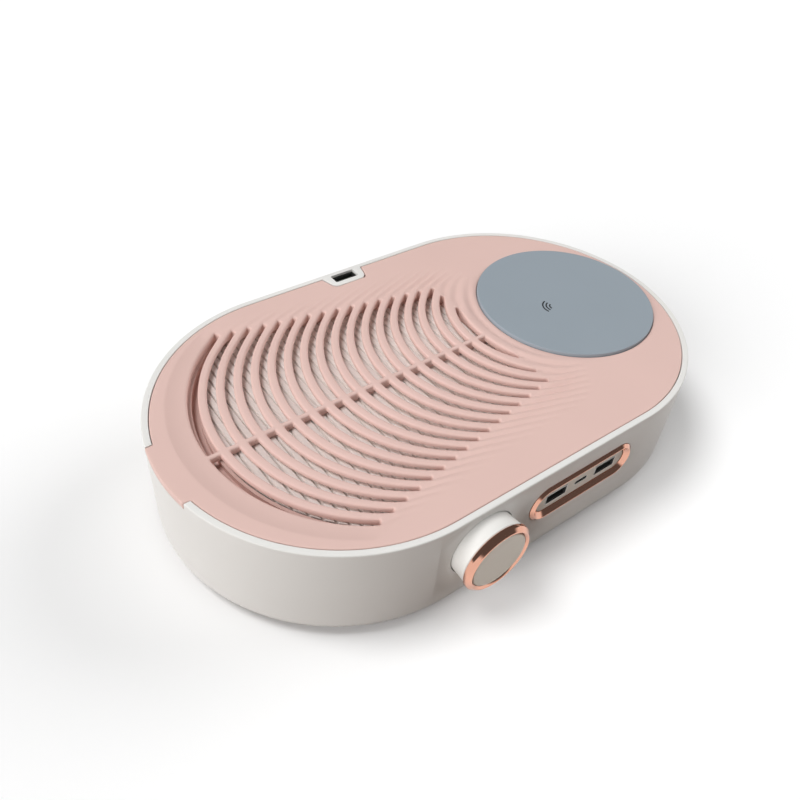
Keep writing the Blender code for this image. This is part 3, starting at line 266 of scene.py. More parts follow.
def pick(piece):
    deselectAll()
    piece.select_set(True)
    bpy.context.view_layer.objects.active = piece


# Moves a finished piece from the body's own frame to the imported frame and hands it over
def settle(piece, bodyName, look, smoothAngle=32, replaced=()):
    pick(piece)
    piece.location = piece.location + unitPlace
    bpy.ops.object.transform_apply(location=True, rotation=True, scale=True)
    if smoothAngle:
        bpy.ops.object.shade_smooth_by_angle(angle=math.radians(smoothAngle))
    piece.data.materials.clear()
    piece.data.materials.append(finish(look))
    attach(piece, bodyName)
    if replaced:
        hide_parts(*replaced)
    return piece


# Modelling helpers: each starts from a primitive and works on it in edit mode
def editMode():
    bpy.ops.object.mode_set(mode="EDIT")


def objectMode():
    bpy.ops.object.mode_set(mode="OBJECT")


def selectWhere(piece, kind, test):
    bpy.ops.object.mode_set(mode="EDIT")
    bpy.ops.mesh.select_mode(type=kind)
    bpy.ops.mesh.select_all(action="DESELECT")
    bpy.ops.object.mode_set(mode="OBJECT")
    mesh = piece.data
    if kind == "VERT":
        for vertex in mesh.vertices:
            vertex.select = test(vertex.co)
    elif kind == "EDGE":
        for edge in mesh.edges:
            edge.select = test(*[mesh.vertices[end].co for end in edge.vertices])
    else:
        for face in mesh.polygons:
            face.select = test(face.center, face.normal)
    bpy.ops.object.mode_set(mode="EDIT")


# Line of points drawn by extruding one vertex, then spun round an axis into a closed piece
def spun(name, profile, centre, axis=(0, 0, 1), steps=96, startTurn=0.0):
    centre, axis = Vector(centre), Vector(axis)
    side = Vector((1, 0, 0)) if abs(axis.x) < 0.5 else Vector((0, 0, 1))
    side = Matrix.Rotation(startTurn, 3, axis) @ side
    places = [centre + side * radius + axis * out for radius, out in profile]
    deselectAll()
    bpy.ops.mesh.primitive_plane_add(size=0.001, location=(0, 0, 0))
    piece = bpy.context.object
    piece.name = name
    piece.data.name = name
    editMode()
    bpy.ops.mesh.select_mode(type="VERT")
    bpy.ops.mesh.select_all(action="SELECT")
    bpy.ops.mesh.merge(type="CENTER")
    bpy.ops.transform.translate(value=places[0])
    for here, there in zip(places, places[1:]):
        bpy.ops.mesh.extrude_region_move(TRANSFORM_OT_translate={"value": there - here})
    bpy.ops.mesh.select_all(action="SELECT")
    bpy.ops.mesh.spin(steps=steps, angle=math.tau, center=centre, axis=axis)
    bpy.ops.mesh.select_all(action="SELECT")
    bpy.ops.mesh.remove_doubles(threshold=0.000002)
    bpy.ops.mesh.normals_make_consistent(inside=False)
    objectMode()
    return piece


# Pulls the two halves of a round piece apart along X, which leaves straight sides between them
def stretched(piece, middleX, reach):
    pick(piece)
    for side in (1, -1):
        selectWhere(piece, "VERT", lambda co: (co.x - middleX) * side > 0)
        bpy.ops.transform.translate(value=(side * reach, 0, 0))
    objectMode()
    return piece


def roundBar(name, radius, low, high, place=(0, 0), steps=48):
    deselectAll()
    bpy.ops.mesh.primitive_cylinder_add(vertices=steps, radius=radius, depth=high - low,
                                        location=(place[0], place[1], (low + high) / 2))
    bar = bpy.context.object
    bar.name = name
    bpy.ops.object.transform_apply(location=True, rotation=True, scale=True)
    return bar


# Bar lying along Y, measured outwards from the front wall
def frontBar(name, radius, low, high, place, steps=96):
    deselectAll()
    bpy.ops.mesh.primitive_cylinder_add(vertices=steps, radius=radius, depth=high - low,
                                        location=(place[0], -halfWidth - (low + high) / 2, place[1]),
                                        rotation=(math.pi / 2, 0, 0))
    bar = bpy.context.object
    bar.name = name
    bpy.ops.object.transform_apply(location=True, rotation=True, scale=True)
    return bar


# Block between two corners whose edges along one axis are rounded
def slab(name, low, high, corner=0, along=2, segments=6):
    deselectAll()
    low, high = Vector(low), Vector(high)
    bpy.ops.mesh.primitive_cube_add(size=1, location=(low + high) / 2, scale=high - low)
    block = bpy.context.object
    block.name = name
    bpy.ops.object.transform_apply(location=True, rotation=True, scale=True)
    if corner:
        across = [axis for axis in range(3) if axis != along]
        selectWhere(block, "EDGE", lambda a, b: all(abs(a[axis] - b[axis]) < 1e-6 for axis in across))
        bpy.ops.mesh.bevel(offset=corner, segments=segments, profile=0.5, affect="EDGES")
        objectMode()
    return block


# Bar with half-round ends along X, lying through the front wall
def frontCapsule(name, length, height, low, high, place, steps=64):
    radius = height / 2
    bar = spun(name, [(0, low), (radius, low), (radius, high), (0, high)],
               (place[0], -halfWidth, place[1]), (0, -1, 0), steps, math.pi / steps)
    return stretched(bar, place[0], length / 2 - radius)


def combine(piece, tool, operation):
    pick(piece)
    change = piece.modifiers.new(tool.name, "BOOLEAN")
    change.operation = operation
    change.object = tool
    change.solver = "EXACT"
    bpy.ops.object.modifier_apply(modifier=change.name)
    bpy.data.objects.remove(tool)


def cut(piece, *tools):
    for tool in tools:
        combine(piece, tool, "DIFFERENCE")


def join(piece, *tools):
    for tool in tools:
        combine(piece, tool, "UNION")


# Lid: the lift-off cover with its dished grille, round ribs and fine ripples past the slot tips
lid = {
    "thickness": 0.0030,
    "borderDepth": 0.0055,    # of the solid border round the slots
    "ribThickness": 0.0024,
    "edgeRound": 0.0006,
    "inset": 0.0032,          # from the body's wall to the lid's edge
    "tabHalf": 0.0173,
    "tabCorner": 0.0008,
    "firstX": -0.1160,
    "pitch": 0.00850,
    "firstRadius": 0.0796,
    "radiusStep": 0.00178,
    "shiftY": 0.0022,         # of the arcs from the body's middle line
    "spineY": 0.0010,
    "slots": 18,
    "slotWidth": 0.0045,
    "firstExtra": 0.0006,     # the first slot is wider on its outer side
    "tipWidth": 0.0020,
    "slotCorner": 0.0006,
    "ribRound": 0.0013,
    "ribDrop": 0.0010,
    "spineHalf": 0.0012,
    "tipStart": (-0.0800, 0.0669),
    "tipEnd": (0.0344, 0.0437),
    "blockMargin": 0.0040,
    "dishDepth": 0.0021,
    "dishWidth": 0.0100,
    "creaseX": -0.1293,
    "creaseEnd": (-0.0870, 0.0720),
    "creaseY": 0.0006,
    "creaseMargin": 0.0040,
    "rippleDepth": 0.00110,
    "rippleSlope": 1.79,      # along the line of tips for each step past it, and how far that takes to build up
    "rippleStart": 1.02,
    "rippleBend": 0.0020,
    "rippleLines": 8,         # mesh lines for each ripple
    "padX": 0.0873,
    "padSeat": 0.0470,
    "padRecess": 0.0010,
    "notchRim": 0.0126,
    "notchInner": 0.0098,
    "notchY": 0.0723,
    "notchCorner": 0.0032,
}


def tipLine(x, margin=0, shape=lid):
    (x0, y0), (x1, y1) = shape["tipStart"], shape["tipEnd"]
    slope = (y1 - y0) / (x1 - x0)
    return y0 + slope * (x - x0) + margin * math.hypot(1, slope)


# Angle from the arc's left end at which it crosses the line of slot tips
def arcReach(centreX, radius, margin=0, shape=lid):
    low, high = 0, math.pi / 2
    for _ in range(50):
        angle = (low + high) / 2
        inside = radius * math.sin(angle) < tipLine(centreX - radius * math.cos(angle), margin, shape)
        low, high = (angle, high) if inside else (low, angle)
    return low


def slotArc(index):
    radius = lid["firstRadius"] - lid["radiusStep"] * index
    return lid["firstX"] + lid["pitch"] * index + radius, radius


# Closed outline of one half slot, grown by a distance, with round corners
def slotLoop(index, side, grow):
    centreX, radius = slotArc(index)
    reach = arcReach(centreX, radius)
    right = lid["tipEnd"][0]
    if centreX - radius * math.cos(reach) > right:
        reach = math.acos((centreX - right) / radius)
    full = radius * reach
    length = full + grow * 0.7
    spine = side * (lid["spineY"] - lid["shiftY"])
    startY = spine + lid["spineHalf"] - min(grow, lid["spineHalf"] * 0.62)
    corner = lid["slotCorner"] + grow * 0.8
    near = [0, 0.0001, 0.0003, 0.0006, 0.0010]
    along = near + list(np.linspace(0.0018, length - 0.0016, 40)) + [length - step for step in near[::-1]]
    outer, inner = [], []
    for step in along:
        share = min(1, step / full)
        room = grow * (1 - 0.3 * share ** 2)
        width = lid["slotWidth"] + (lid["tipWidth"] - lid["slotWidth"]) * share ** 2 + 2 * room
        fromEnd = min(step, length - step)
        rounding = 0
        if fromEnd < corner:
            rounding = corner - math.sqrt(corner ** 2 - (corner - fromEnd) ** 2)
        half = max(width / 2 - rounding, width * 0.06)
        for edge, line in ((1, outer), (-1, inner)):
            edgeRadius = radius + edge * half + (lid["firstExtra"] if index == 0 and edge > 0 else 0)
            start = math.asin(startY / edgeRadius)
            angle = start + step / length * (length / radius - start)
            y = side * edgeRadius * math.sin(angle) + lid["shiftY"]
            line.append((centreX - edgeRadius * math.cos(angle), y))
    loop = outer + inner[::-1]
    return loop if side > 0 else loop[::-1]


# Outline of the grille field: the first slot's arc, the two lines of tips and the straight end
def fieldLoop(margin, shape=lid, steps=60):
    radius = shape["firstRadius"] + margin
    centreX, shiftY = shape["firstX"] + shape["firstRadius"], shape["shiftY"]
    reach = arcReach(centreX, radius, margin, shape)
    turns = [reach * (1 - 2 * step / steps) for step in range(steps + 1)]
    loop = [(centreX - radius * math.cos(turn), radius * math.sin(turn) + shiftY) for turn in turns]
    right = shape["tipEnd"][0] + margin
    half = tipLine(right, margin, shape)
    return loop + [(right, shiftY - half), (right, shiftY + half)]


# The soft crease round the field, moved in by a distance, as an open line
def creaseLine(inwards=0, steps=90):
    (lastX, lastY), creaseX = lid["creaseEnd"], lid["creaseX"]
    rise = lastX - creaseX
    radius = (rise ** 2 + lastY ** 2) / (2 * rise)
    reach = math.asin(lastY / radius)
    turns = [reach * (1 - 2 * step / steps) for step in range(steps + 1)]
    centreX, radius = creaseX + radius, radius - inwards
    return [(centreX - radius * math.cos(turn), radius * math.sin(turn) + lid["creaseY"]) for turn in turns]


def creaseLoop():
    margin = lid["creaseMargin"]
    right = lid["tipEnd"][0] + margin + 0.012
    half = tipLine(right, margin)
    return creaseLine() + [(right, lid["creaseY"] - half), (right, lid["creaseY"] + half)]


# Points of a fillet where two straight runs meet
def roundCorner(before, corner, after, radius, steps=5):
    before, corner, after = Vector(before), Vector(corner), Vector(after)
    a, b = (before - corner).normalized(), (after - corner).normalized()
    reach = min(radius / math.tan(a.angle(b) / 2), (before - corner).length / 2, (after - corner).length / 2)
    start, end = corner + a * reach, corner + b * reach
    shares = [step / steps for step in range(steps + 1)]
    return [tuple(start * (1 - t) ** 2 + corner * 2 * t * (1 - t) + end * t ** 2) for t in shares]


# Edge of the lid, anticlockwise, with the lamp socket's notch and the finger tab
def lidOutline():
    radius = halfWidth - lid["inset"]
    turns = [math.pi / 2 * step / 60 for step in range(-60, 61)]
    loop = [(endX + radius * math.cos(turn), radius * math.sin(turn)) for turn in turns]
    rim, inner, y = lid["notchRim"], lid["notchInner"], lid["notchY"]
    right, left = (rim, radius), (-rim, radius)
    innerRight, innerLeft = (inner, y), (-inner, y)
    loop += [(endX - step * 0.002, radius) for step in range(1, 20)]
    loop += roundCorner((endX, radius), right, innerRight, 0.0006)
    loop += roundCorner(right, innerRight, innerLeft, lid["notchCorner"])
    loop += roundCorner(innerRight, innerLeft, left, lid["notchCorner"])
    loop += roundCorner(innerLeft, left, (-endX, radius), 0.0006)
    loop += [(-endX + step * 0.002, radius) for step in range(19, 0, -1)]
    tab = lid["tabHalf"]
    outerX = -endX - math.sqrt(halfWidth ** 2 - tab ** 2)
    innerX = -endX - math.sqrt(radius ** 2 - tab ** 2)
    tabTurn = math.asin(tab / radius)
    swing = math.pi / 2 - tabTurn
    turns = [math.pi / 2 + swing * step / 50 for step in range(49)]
    loop += [(-endX + radius * math.cos(turn), radius * math.sin(turn)) for turn in turns]
    above, below = loop[-1], (loop[-1][0], -loop[-1][1])
    loop += roundCorner(above, (innerX, tab), (outerX, tab), lid["tabCorner"])
    loop += roundCorner((innerX, tab), (outerX, tab), (outerX - 0.002, tab * 0.8), lid["tabCorner"])
    edgeTurn = math.asin(tab / halfWidth) * 0.93
    turns = [math.pi + edgeTurn * (step / 10) for step in range(-10, 11)]
    loop += [(-endX + halfWidth * math.cos(turn), halfWidth * math.sin(turn)) for turn in turns]
    loop += roundCorner((outerX - 0.002, -tab * 0.8), (outerX, -tab), (innerX, -tab), lid["tabCorner"])
    loop += roundCorner((outerX, -tab), (innerX, -tab), below, lid["tabCorner"])
    turns = [math.pi + tabTurn + swing * step / 50 for step in range(2, 51)]
    loop += [(-endX + radius * math.cos(turn), radius * math.sin(turn)) for turn in turns]
    return loop + [(-endX + step * 0.0025, -radius) for step in range(1, 44)]


# A closed anticlockwise loop drawn in by a small distance
def shrunk(loop, distance):
    points = np.array(loop)
    ahead = np.roll(points, -1, 0) - points
    behind = points - np.roll(points, 1, 0)
    ahead /= np.linalg.norm(ahead, axis=1)[:, None]
    behind /= np.linalg.norm(behind, axis=1)[:, None]
    along = ahead + behind
    along /= np.linalg.norm(along, axis=1)[:, None]
    inwards = np.stack([-along[:, 1], along[:, 0]], 1)
    bend = np.clip((ahead * along).sum(1), 0.5, 1)
    return [tuple(p) for p in points + inwards * (distance / bend)[:, None]]


def insideLoop(points, loop):
    points, loop = np.asarray(points), np.asarray(loop)
    inside = np.zeros(len(points), bool)
    for start, end in zip(loop, np.roll(loop, -1, 0)):
        crosses = (start[1] > points[:, 1]) != (end[1] > points[:, 1])
        run = end[1] - start[1] if end[1] != start[1] else 1
        x = start[0] + (points[:, 1] - start[1]) * (end[0] - start[0]) / run
        inside ^= crosses & (points[:, 0] < x)
    return inside


def distanceTo(points, loop):
    points, loop = np.asarray(points), np.asarray(loop)
    least = np.full(len(points), 1e9)
    for start, end in zip(loop, np.roll(loop, -1, 0)):
        run = end - start
        share = np.clip(((points - start) @ run) / max(run @ run, 1e-12), 0, 1)
        gap = points - start - share[:, None] * run
        least = np.minimum(least, np.hypot(gap[:, 0], gap[:, 1]))
    return least


# Which arc of the slots' family runs through each point, counted in slots from the first
def arcIndex(points):
    centre0, radius0 = slotArc(0)
    step = lid["radiusStep"]
    shift = lid["pitch"] - step
    px, py = points[:, 0] - centre0, points[:, 1] - lid["shiftY"]
    a = shift ** 2 - step ** 2
    b = -2 * px * shift + 2 * radius0 * step
    c = px ** 2 + py ** 2 - radius0 ** 2
    return (-b + np.sqrt(np.maximum(b ** 2 - 4 * a * c, 0))) / (2 * a)


# Places along the line of slot tips and away from it, counted from its left end
def tipPlaces(points):
    start, end = Vector(lid["tipStart"]), Vector(lid["tipEnd"])
    along = (end - start).normalized()
    x, y = points[:, 0] - start.x, np.abs(points[:, 1] - lid["shiftY"]) - start.y
    return x * along.x + y * along.y, y * along.x - x * along.y


# Each slot runs on past its tip as one ripple, which bends from the slot's own way into a shared slope
def rippleShift(past):
    bend = lid["rippleBend"]
    return lid["rippleSlope"] * past - (lid["rippleSlope"] - lid["rippleStart"]) * bend * (1 - np.exp(-past / bend))


def rippleIndex(points):
    along, past = tipPlaces(points)
    start, end = Vector(lid["tipStart"]), Vector(lid["tipEnd"])
    way = (end - start).normalized()
    root = along - rippleShift(np.maximum(past, 0))
    roots = np.stack([start.x + root * way.x, start.y + root * way.y + lid["shiftY"]], 1)
    return arcIndex(np.where((past > 0)[:, None], roots, points))


# How far each point lies beyond the grille field, and how strong the ripples are there
def rippleStrength(points):
    x, past = points[:, 0], tipPlaces(points)[1]
    beyond = x - lid["tipEnd"][0]
    outside = np.hypot(np.maximum(past, 0), np.maximum(beyond, 0))
    past = np.where(outside > 0, outside, np.maximum(past, beyond))
    fade = np.interp(x, (-0.080, -0.020, 0.030, 0.075), (0.007, 0.013, 0.020, 0.028))
    strength = np.clip(1.5 * (1 - past / fade), 0, 1) * np.clip(past / 0.0012, 0, 1)
    strength *= np.clip((x + 0.085) / 0.03, 0, 1) * np.clip((0.088 - x) / 0.03, 0, 1)
    strength *= np.interp(x, (-0.060, 0, 0.040), (0.45, 0.70, 1))
    edgeGap = halfWidth - lid["inset"] - np.hypot(np.maximum(x - endX, 0), points[:, 1])
    padGap = np.hypot(x - lid["padX"], points[:, 1]) - lid["padSeat"]
    for gap in (edgeGap, padGap):
        strength *= np.clip((gap - 0.0010) / 0.003, 0, 1)
    notchGap = np.maximum(np.abs(x) - lid["notchRim"], lid["notchY"] - points[:, 1])
    return past, strength * np.clip((notchGap - 0.0010) / 0.003, 0, 1)


# Height of the lid's face: flat, dished inside the crease, and rippled past the slot tips
def lidSurface(points):
    crease = creaseLoop()
    inside = insideLoop(points, crease)
    depth = np.where(inside, distanceTo(points, crease), 0)
    share = np.clip(depth / lid["dishWidth"], 0, 1)
    right = lid["tipEnd"][0] + lid["creaseMargin"]
    fall = np.clip((right - points[:, 0]) / (right - lid["firstX"]), 0, 1.1)
    height = topZ - lid["dishDepth"] * (1 - (1 - share) ** 2) * fall
    strength = rippleStrength(points)[1]
    wave = 0.5 + 0.5 * np.cos(math.tau * rippleIndex(points))
    return height - lid["rippleDepth"] * strength * wave


# Lines that follow the ripples, so that the mesh runs along them
def rippleLines():
    lines = []
    share = lid["rippleLines"]
    start, end = Vector(lid["tipStart"]), Vector(lid["tipEnd"])
    way = (end - start).normalized()
    for number in range(-share // 2, share * 22):
        centreX, radius = slotArc(number / share)
        reach = arcReach(centreX, radius)
        turns = np.arange(0.02, reach, 0.0030 / radius)
        onArc = np.stack([centreX - radius * np.cos(turns), radius * np.sin(turns)], 1)
        past = np.arange(0.0014, 0.0300, 0.0020)
        along = (centreX - radius * math.cos(reach) - start.x) / way.x + rippleShift(past)
        beyond = np.stack([start.x + along * way.x - past * way.y, start.y + along * way.y + past * way.x], 1)
        for side in (1, -1):
            points = np.concatenate([onArc, beyond]) * (1, side) + (0, lid["shiftY"])
            past, strength = rippleStrength(points)
            keep = (past > 0.0013) & (strength > 0.02)
            for first in range(len(points)):
                if keep[first] and (first == 0 or not keep[first - 1]):
                    last = first
                    while last < len(points) and keep[last]:
                        last += 1
                    if last - first > 2:
                        lines.append([tuple(p) for p in points[first:last]])
    return lines


def hexPoints(low, high, spacing):
    rows = np.arange(low[1], high[1], spacing * 0.866)
    return np.array([(x, y) for row, y in enumerate(rows)
                     for x in np.arange(low[0] + spacing / 2 * (row % 2), high[0], spacing)])


def nearest(points):
    tree = KDTree(len(points))
    for number, (x, y) in enumerate(points):
        tree.insert((x, y, 0), number)
    tree.balance()
    return tree


def clearOf(points, others, distance):
    tree = nearest(others)
    return np.array([p for p in points if tree.find((p[0], p[1], 0))[2] > distance])


def nearBox(points, loop, reach=1e-6):
    low, high = np.min(loop, 0) - reach, np.max(loop, 0) + reach
    return ((points > low) & (points < high)).all(1)


# How far a quarter-round edge falls at a distance from the edge
def roundedFall(distance, width, drop):
    share = np.clip(1 - distance / width, 0, 1)
    return drop * (1 - np.sqrt(1 - share ** 2))


def makeLid():
    outline = lidOutline()
    rings = [shrunk(outline, distance) for distance in (0, 0.0001, 0.00025, 0.00045, 0.0008)]
    growths = (0, 0.0001, 0.0003, 0.0006, 0.00095, lid["ribRound"])
    slots = [[slotLoop(index, side, grow) for grow in growths]
             for index in range(lid["slots"]) for side in (1, -1)]
    turns = [math.tau * step / 192 for step in range(192)]
    seats = [[(lid["padX"] + radius * math.cos(turn), radius * math.sin(turn)) for turn in turns]
             for radius in (lid["padSeat"] - 0.00004, lid["padSeat"], lid["padSeat"] + 0.00015,
                            lid["padSeat"] + 0.0004)]
    steps = [fieldLoop(lid["blockMargin"]), fieldLoop(lid["blockMargin"] - 0.0003)]
    loops = rings + [ring for slot in slots for ring in slot] + seats + steps
    loopPoints = np.array([p for loop in loops for p in loop])
    lines = [creaseLine(inwards) for inwards in (-0.0008, 0, 0.0006, 0.0014, 0.0026, 0.004, 0.006)]
    ripples = rippleLines()
    print("lid: ripple lines", len(ripples))

    points, edges = [], []
    for loop, closed in [(loop, True) for loop in loops] + [(line, False) for line in lines + ripples]:
        first = len(points)
        points += loop
        edges += [(first + here, first + here + 1) for here in range(len(loop) - 1)]
        if closed:
            edges.append((first + len(loop) - 1, first))
    loose = hexPoints((-halfLength, -halfWidth), (halfLength, halfWidth), 0.0030)
    loose = clearOf(loose, np.array(points), 0.0014)
    loose = loose[insideLoop(loose, rings[-1])]
    for slot in slots:
        near = nearBox(loose, slot[-1])
        near[near] = insideLoop(loose[near], slot[-1])
        loose = loose[~near]
    points += [tuple(p) for p in loose]
    result = delaunay_2d_cdt([Vector(p) for p in points], edges, [], 0, 1e-7)
    flat = np.array([tuple(p) for p in result[0]])
    faces = np.array([tuple(face) for face in result[2]])
    print("lid: face of", len(flat), "points")

    middles = flat[faces].mean(1)
    keep = insideLoop(middles, outline)
    for slot in slots:
        near = nearBox(middles, slot[0]) & keep
        near[near] = insideLoop(middles[near], slot[0])
        keep &= ~near
    faces = faces[keep]
    used, faces = np.unique(faces, return_inverse=True)
    faces, flat = faces.reshape(-1, 3), flat[used]

    height = lidSurface(flat)
    height -= roundedFall(distanceTo(flat, outline), 0.0006, lid["edgeRound"])
    ribFall = np.zeros(len(flat))
    for slot in slots:
        near = nearBox(flat, slot[-1])
        fall = roundedFall(distanceTo(flat[near], slot[0]), lid["ribRound"], lid["ribDrop"])
        ribFall[near] = np.maximum(ribFall[near], fall)
    height -= ribFall
    fromSeat = np.hypot(flat[:, 0] - lid["padX"], flat[:, 1]) - lid["padSeat"]
    height -= np.where(fromSeat < -1e-5, lid["padRecess"], roundedFall(np.maximum(fromSeat, 0), 0.0004, 0.0002))

    mesh = bpy.data.meshes.new("lid_cover")
    mesh.from_pydata([(x, y, z) for (x, y), z in zip(flat.tolist(), height.tolist())], [], faces.tolist())
    piece = bpy.data.objects.new("lid_cover", mesh)
    bpy.context.scene.collection.objects.link(piece)
    pick(piece)
    editMode()
    bpy.ops.mesh.select_mode(type="FACE")
    bpy.ops.mesh.select_all(action="SELECT")
    bpy.ops.mesh.extrude_region_move(TRANSFORM_OT_translate={"value": (0, 0, -lid["thickness"])})
    objectMode()
    count = len(mesh.vertices)
    places = np.empty(count * 3)
    mesh.vertices.foreach_get("co", places)
    places = places.reshape(-1, 3)
    picked = np.zeros(count, bool)
    mesh.vertices.foreach_get("select", picked)
    under = np.full(count, topZ - lid["thickness"])
    field = fieldLoop(lid["blockMargin"] - 0.0001)
    near = nearBox(places[:, :2], field)
    near[near] = insideLoop(places[near][:, :2], field)
    inField = places[near][:, :2]
    border = topZ - lid["borderDepth"]
    rib = np.minimum(lidSurface(inField) - lid["ribThickness"], topZ - lid["thickness"])
    ribShare = np.where(insideLoop(inField, fieldLoop(0)), distanceTo(inField, fieldLoop(0)), 0) / 0.004
    under[near] = border + np.clip(ribShare, 0, 1) * (rib - border)
    onSpine = near & (np.abs(places[:, 1] - lid["spineY"]) < lid["spineHalf"] + 0.0001)
    under[onSpine] = border
    places[picked, 2] = under[picked]
    mesh.vertices.foreach_set("co", places.ravel())
    mesh.update()
    editMode()
    bpy.ops.mesh.select_all(action="SELECT")
    bpy.ops.mesh.normals_make_consistent(inside=False)
    objectMode()
    print("lid: solid of", len(mesh.polygons), "faces")
    return settle(piece, "cover", "coverPink", 38, ["top_cover"])


# Body shell: the white stadium tub, spun from its wall's profile and pulled apart into two halves
shell = {
    "turnSteps": 192,
    "fillet": 0.0065,
    "filletSteps": 10,
    "rimRound": 0.0006,
    "rimDrop": 0.0007,
    "ledgeWidth": 0.0030,
    "ledgeThickness": 0.0021,
    "floor": 0.0050,
    "baseInset": 0.0110,
    "baseLip": 0.0030,
    "basePocket": 0.0028,
    "postRadius": 0.0035,
    "magnetBoss": 0.0050,
    "magnetSeat": 0.0033,
    "louvres": 9,
    "louvreWidth": 0.0024,
    "louvrePitch": 0.0043,
    "louvreLow": 0.0085,
    "louvreHigh": 0.0245,
    "lampRim": 0.0123,
    "lampInner": 0.0095,
    "lampInnerY": 0.0726,
    "lampCorner": 0.0030,
    "lampDepth": 0.0190,
    "lampMouth": (0.0143, 0.0062),
    "lampMouthY": 0.0787,
}
knobSpot = (-0.041104, 0.0309)      # X and height of the knob's middle
portSpot = (0.019096, 0.0325)       # the same for the ports
ledgeTop = topZ - lid["thickness"] - body["gap"]


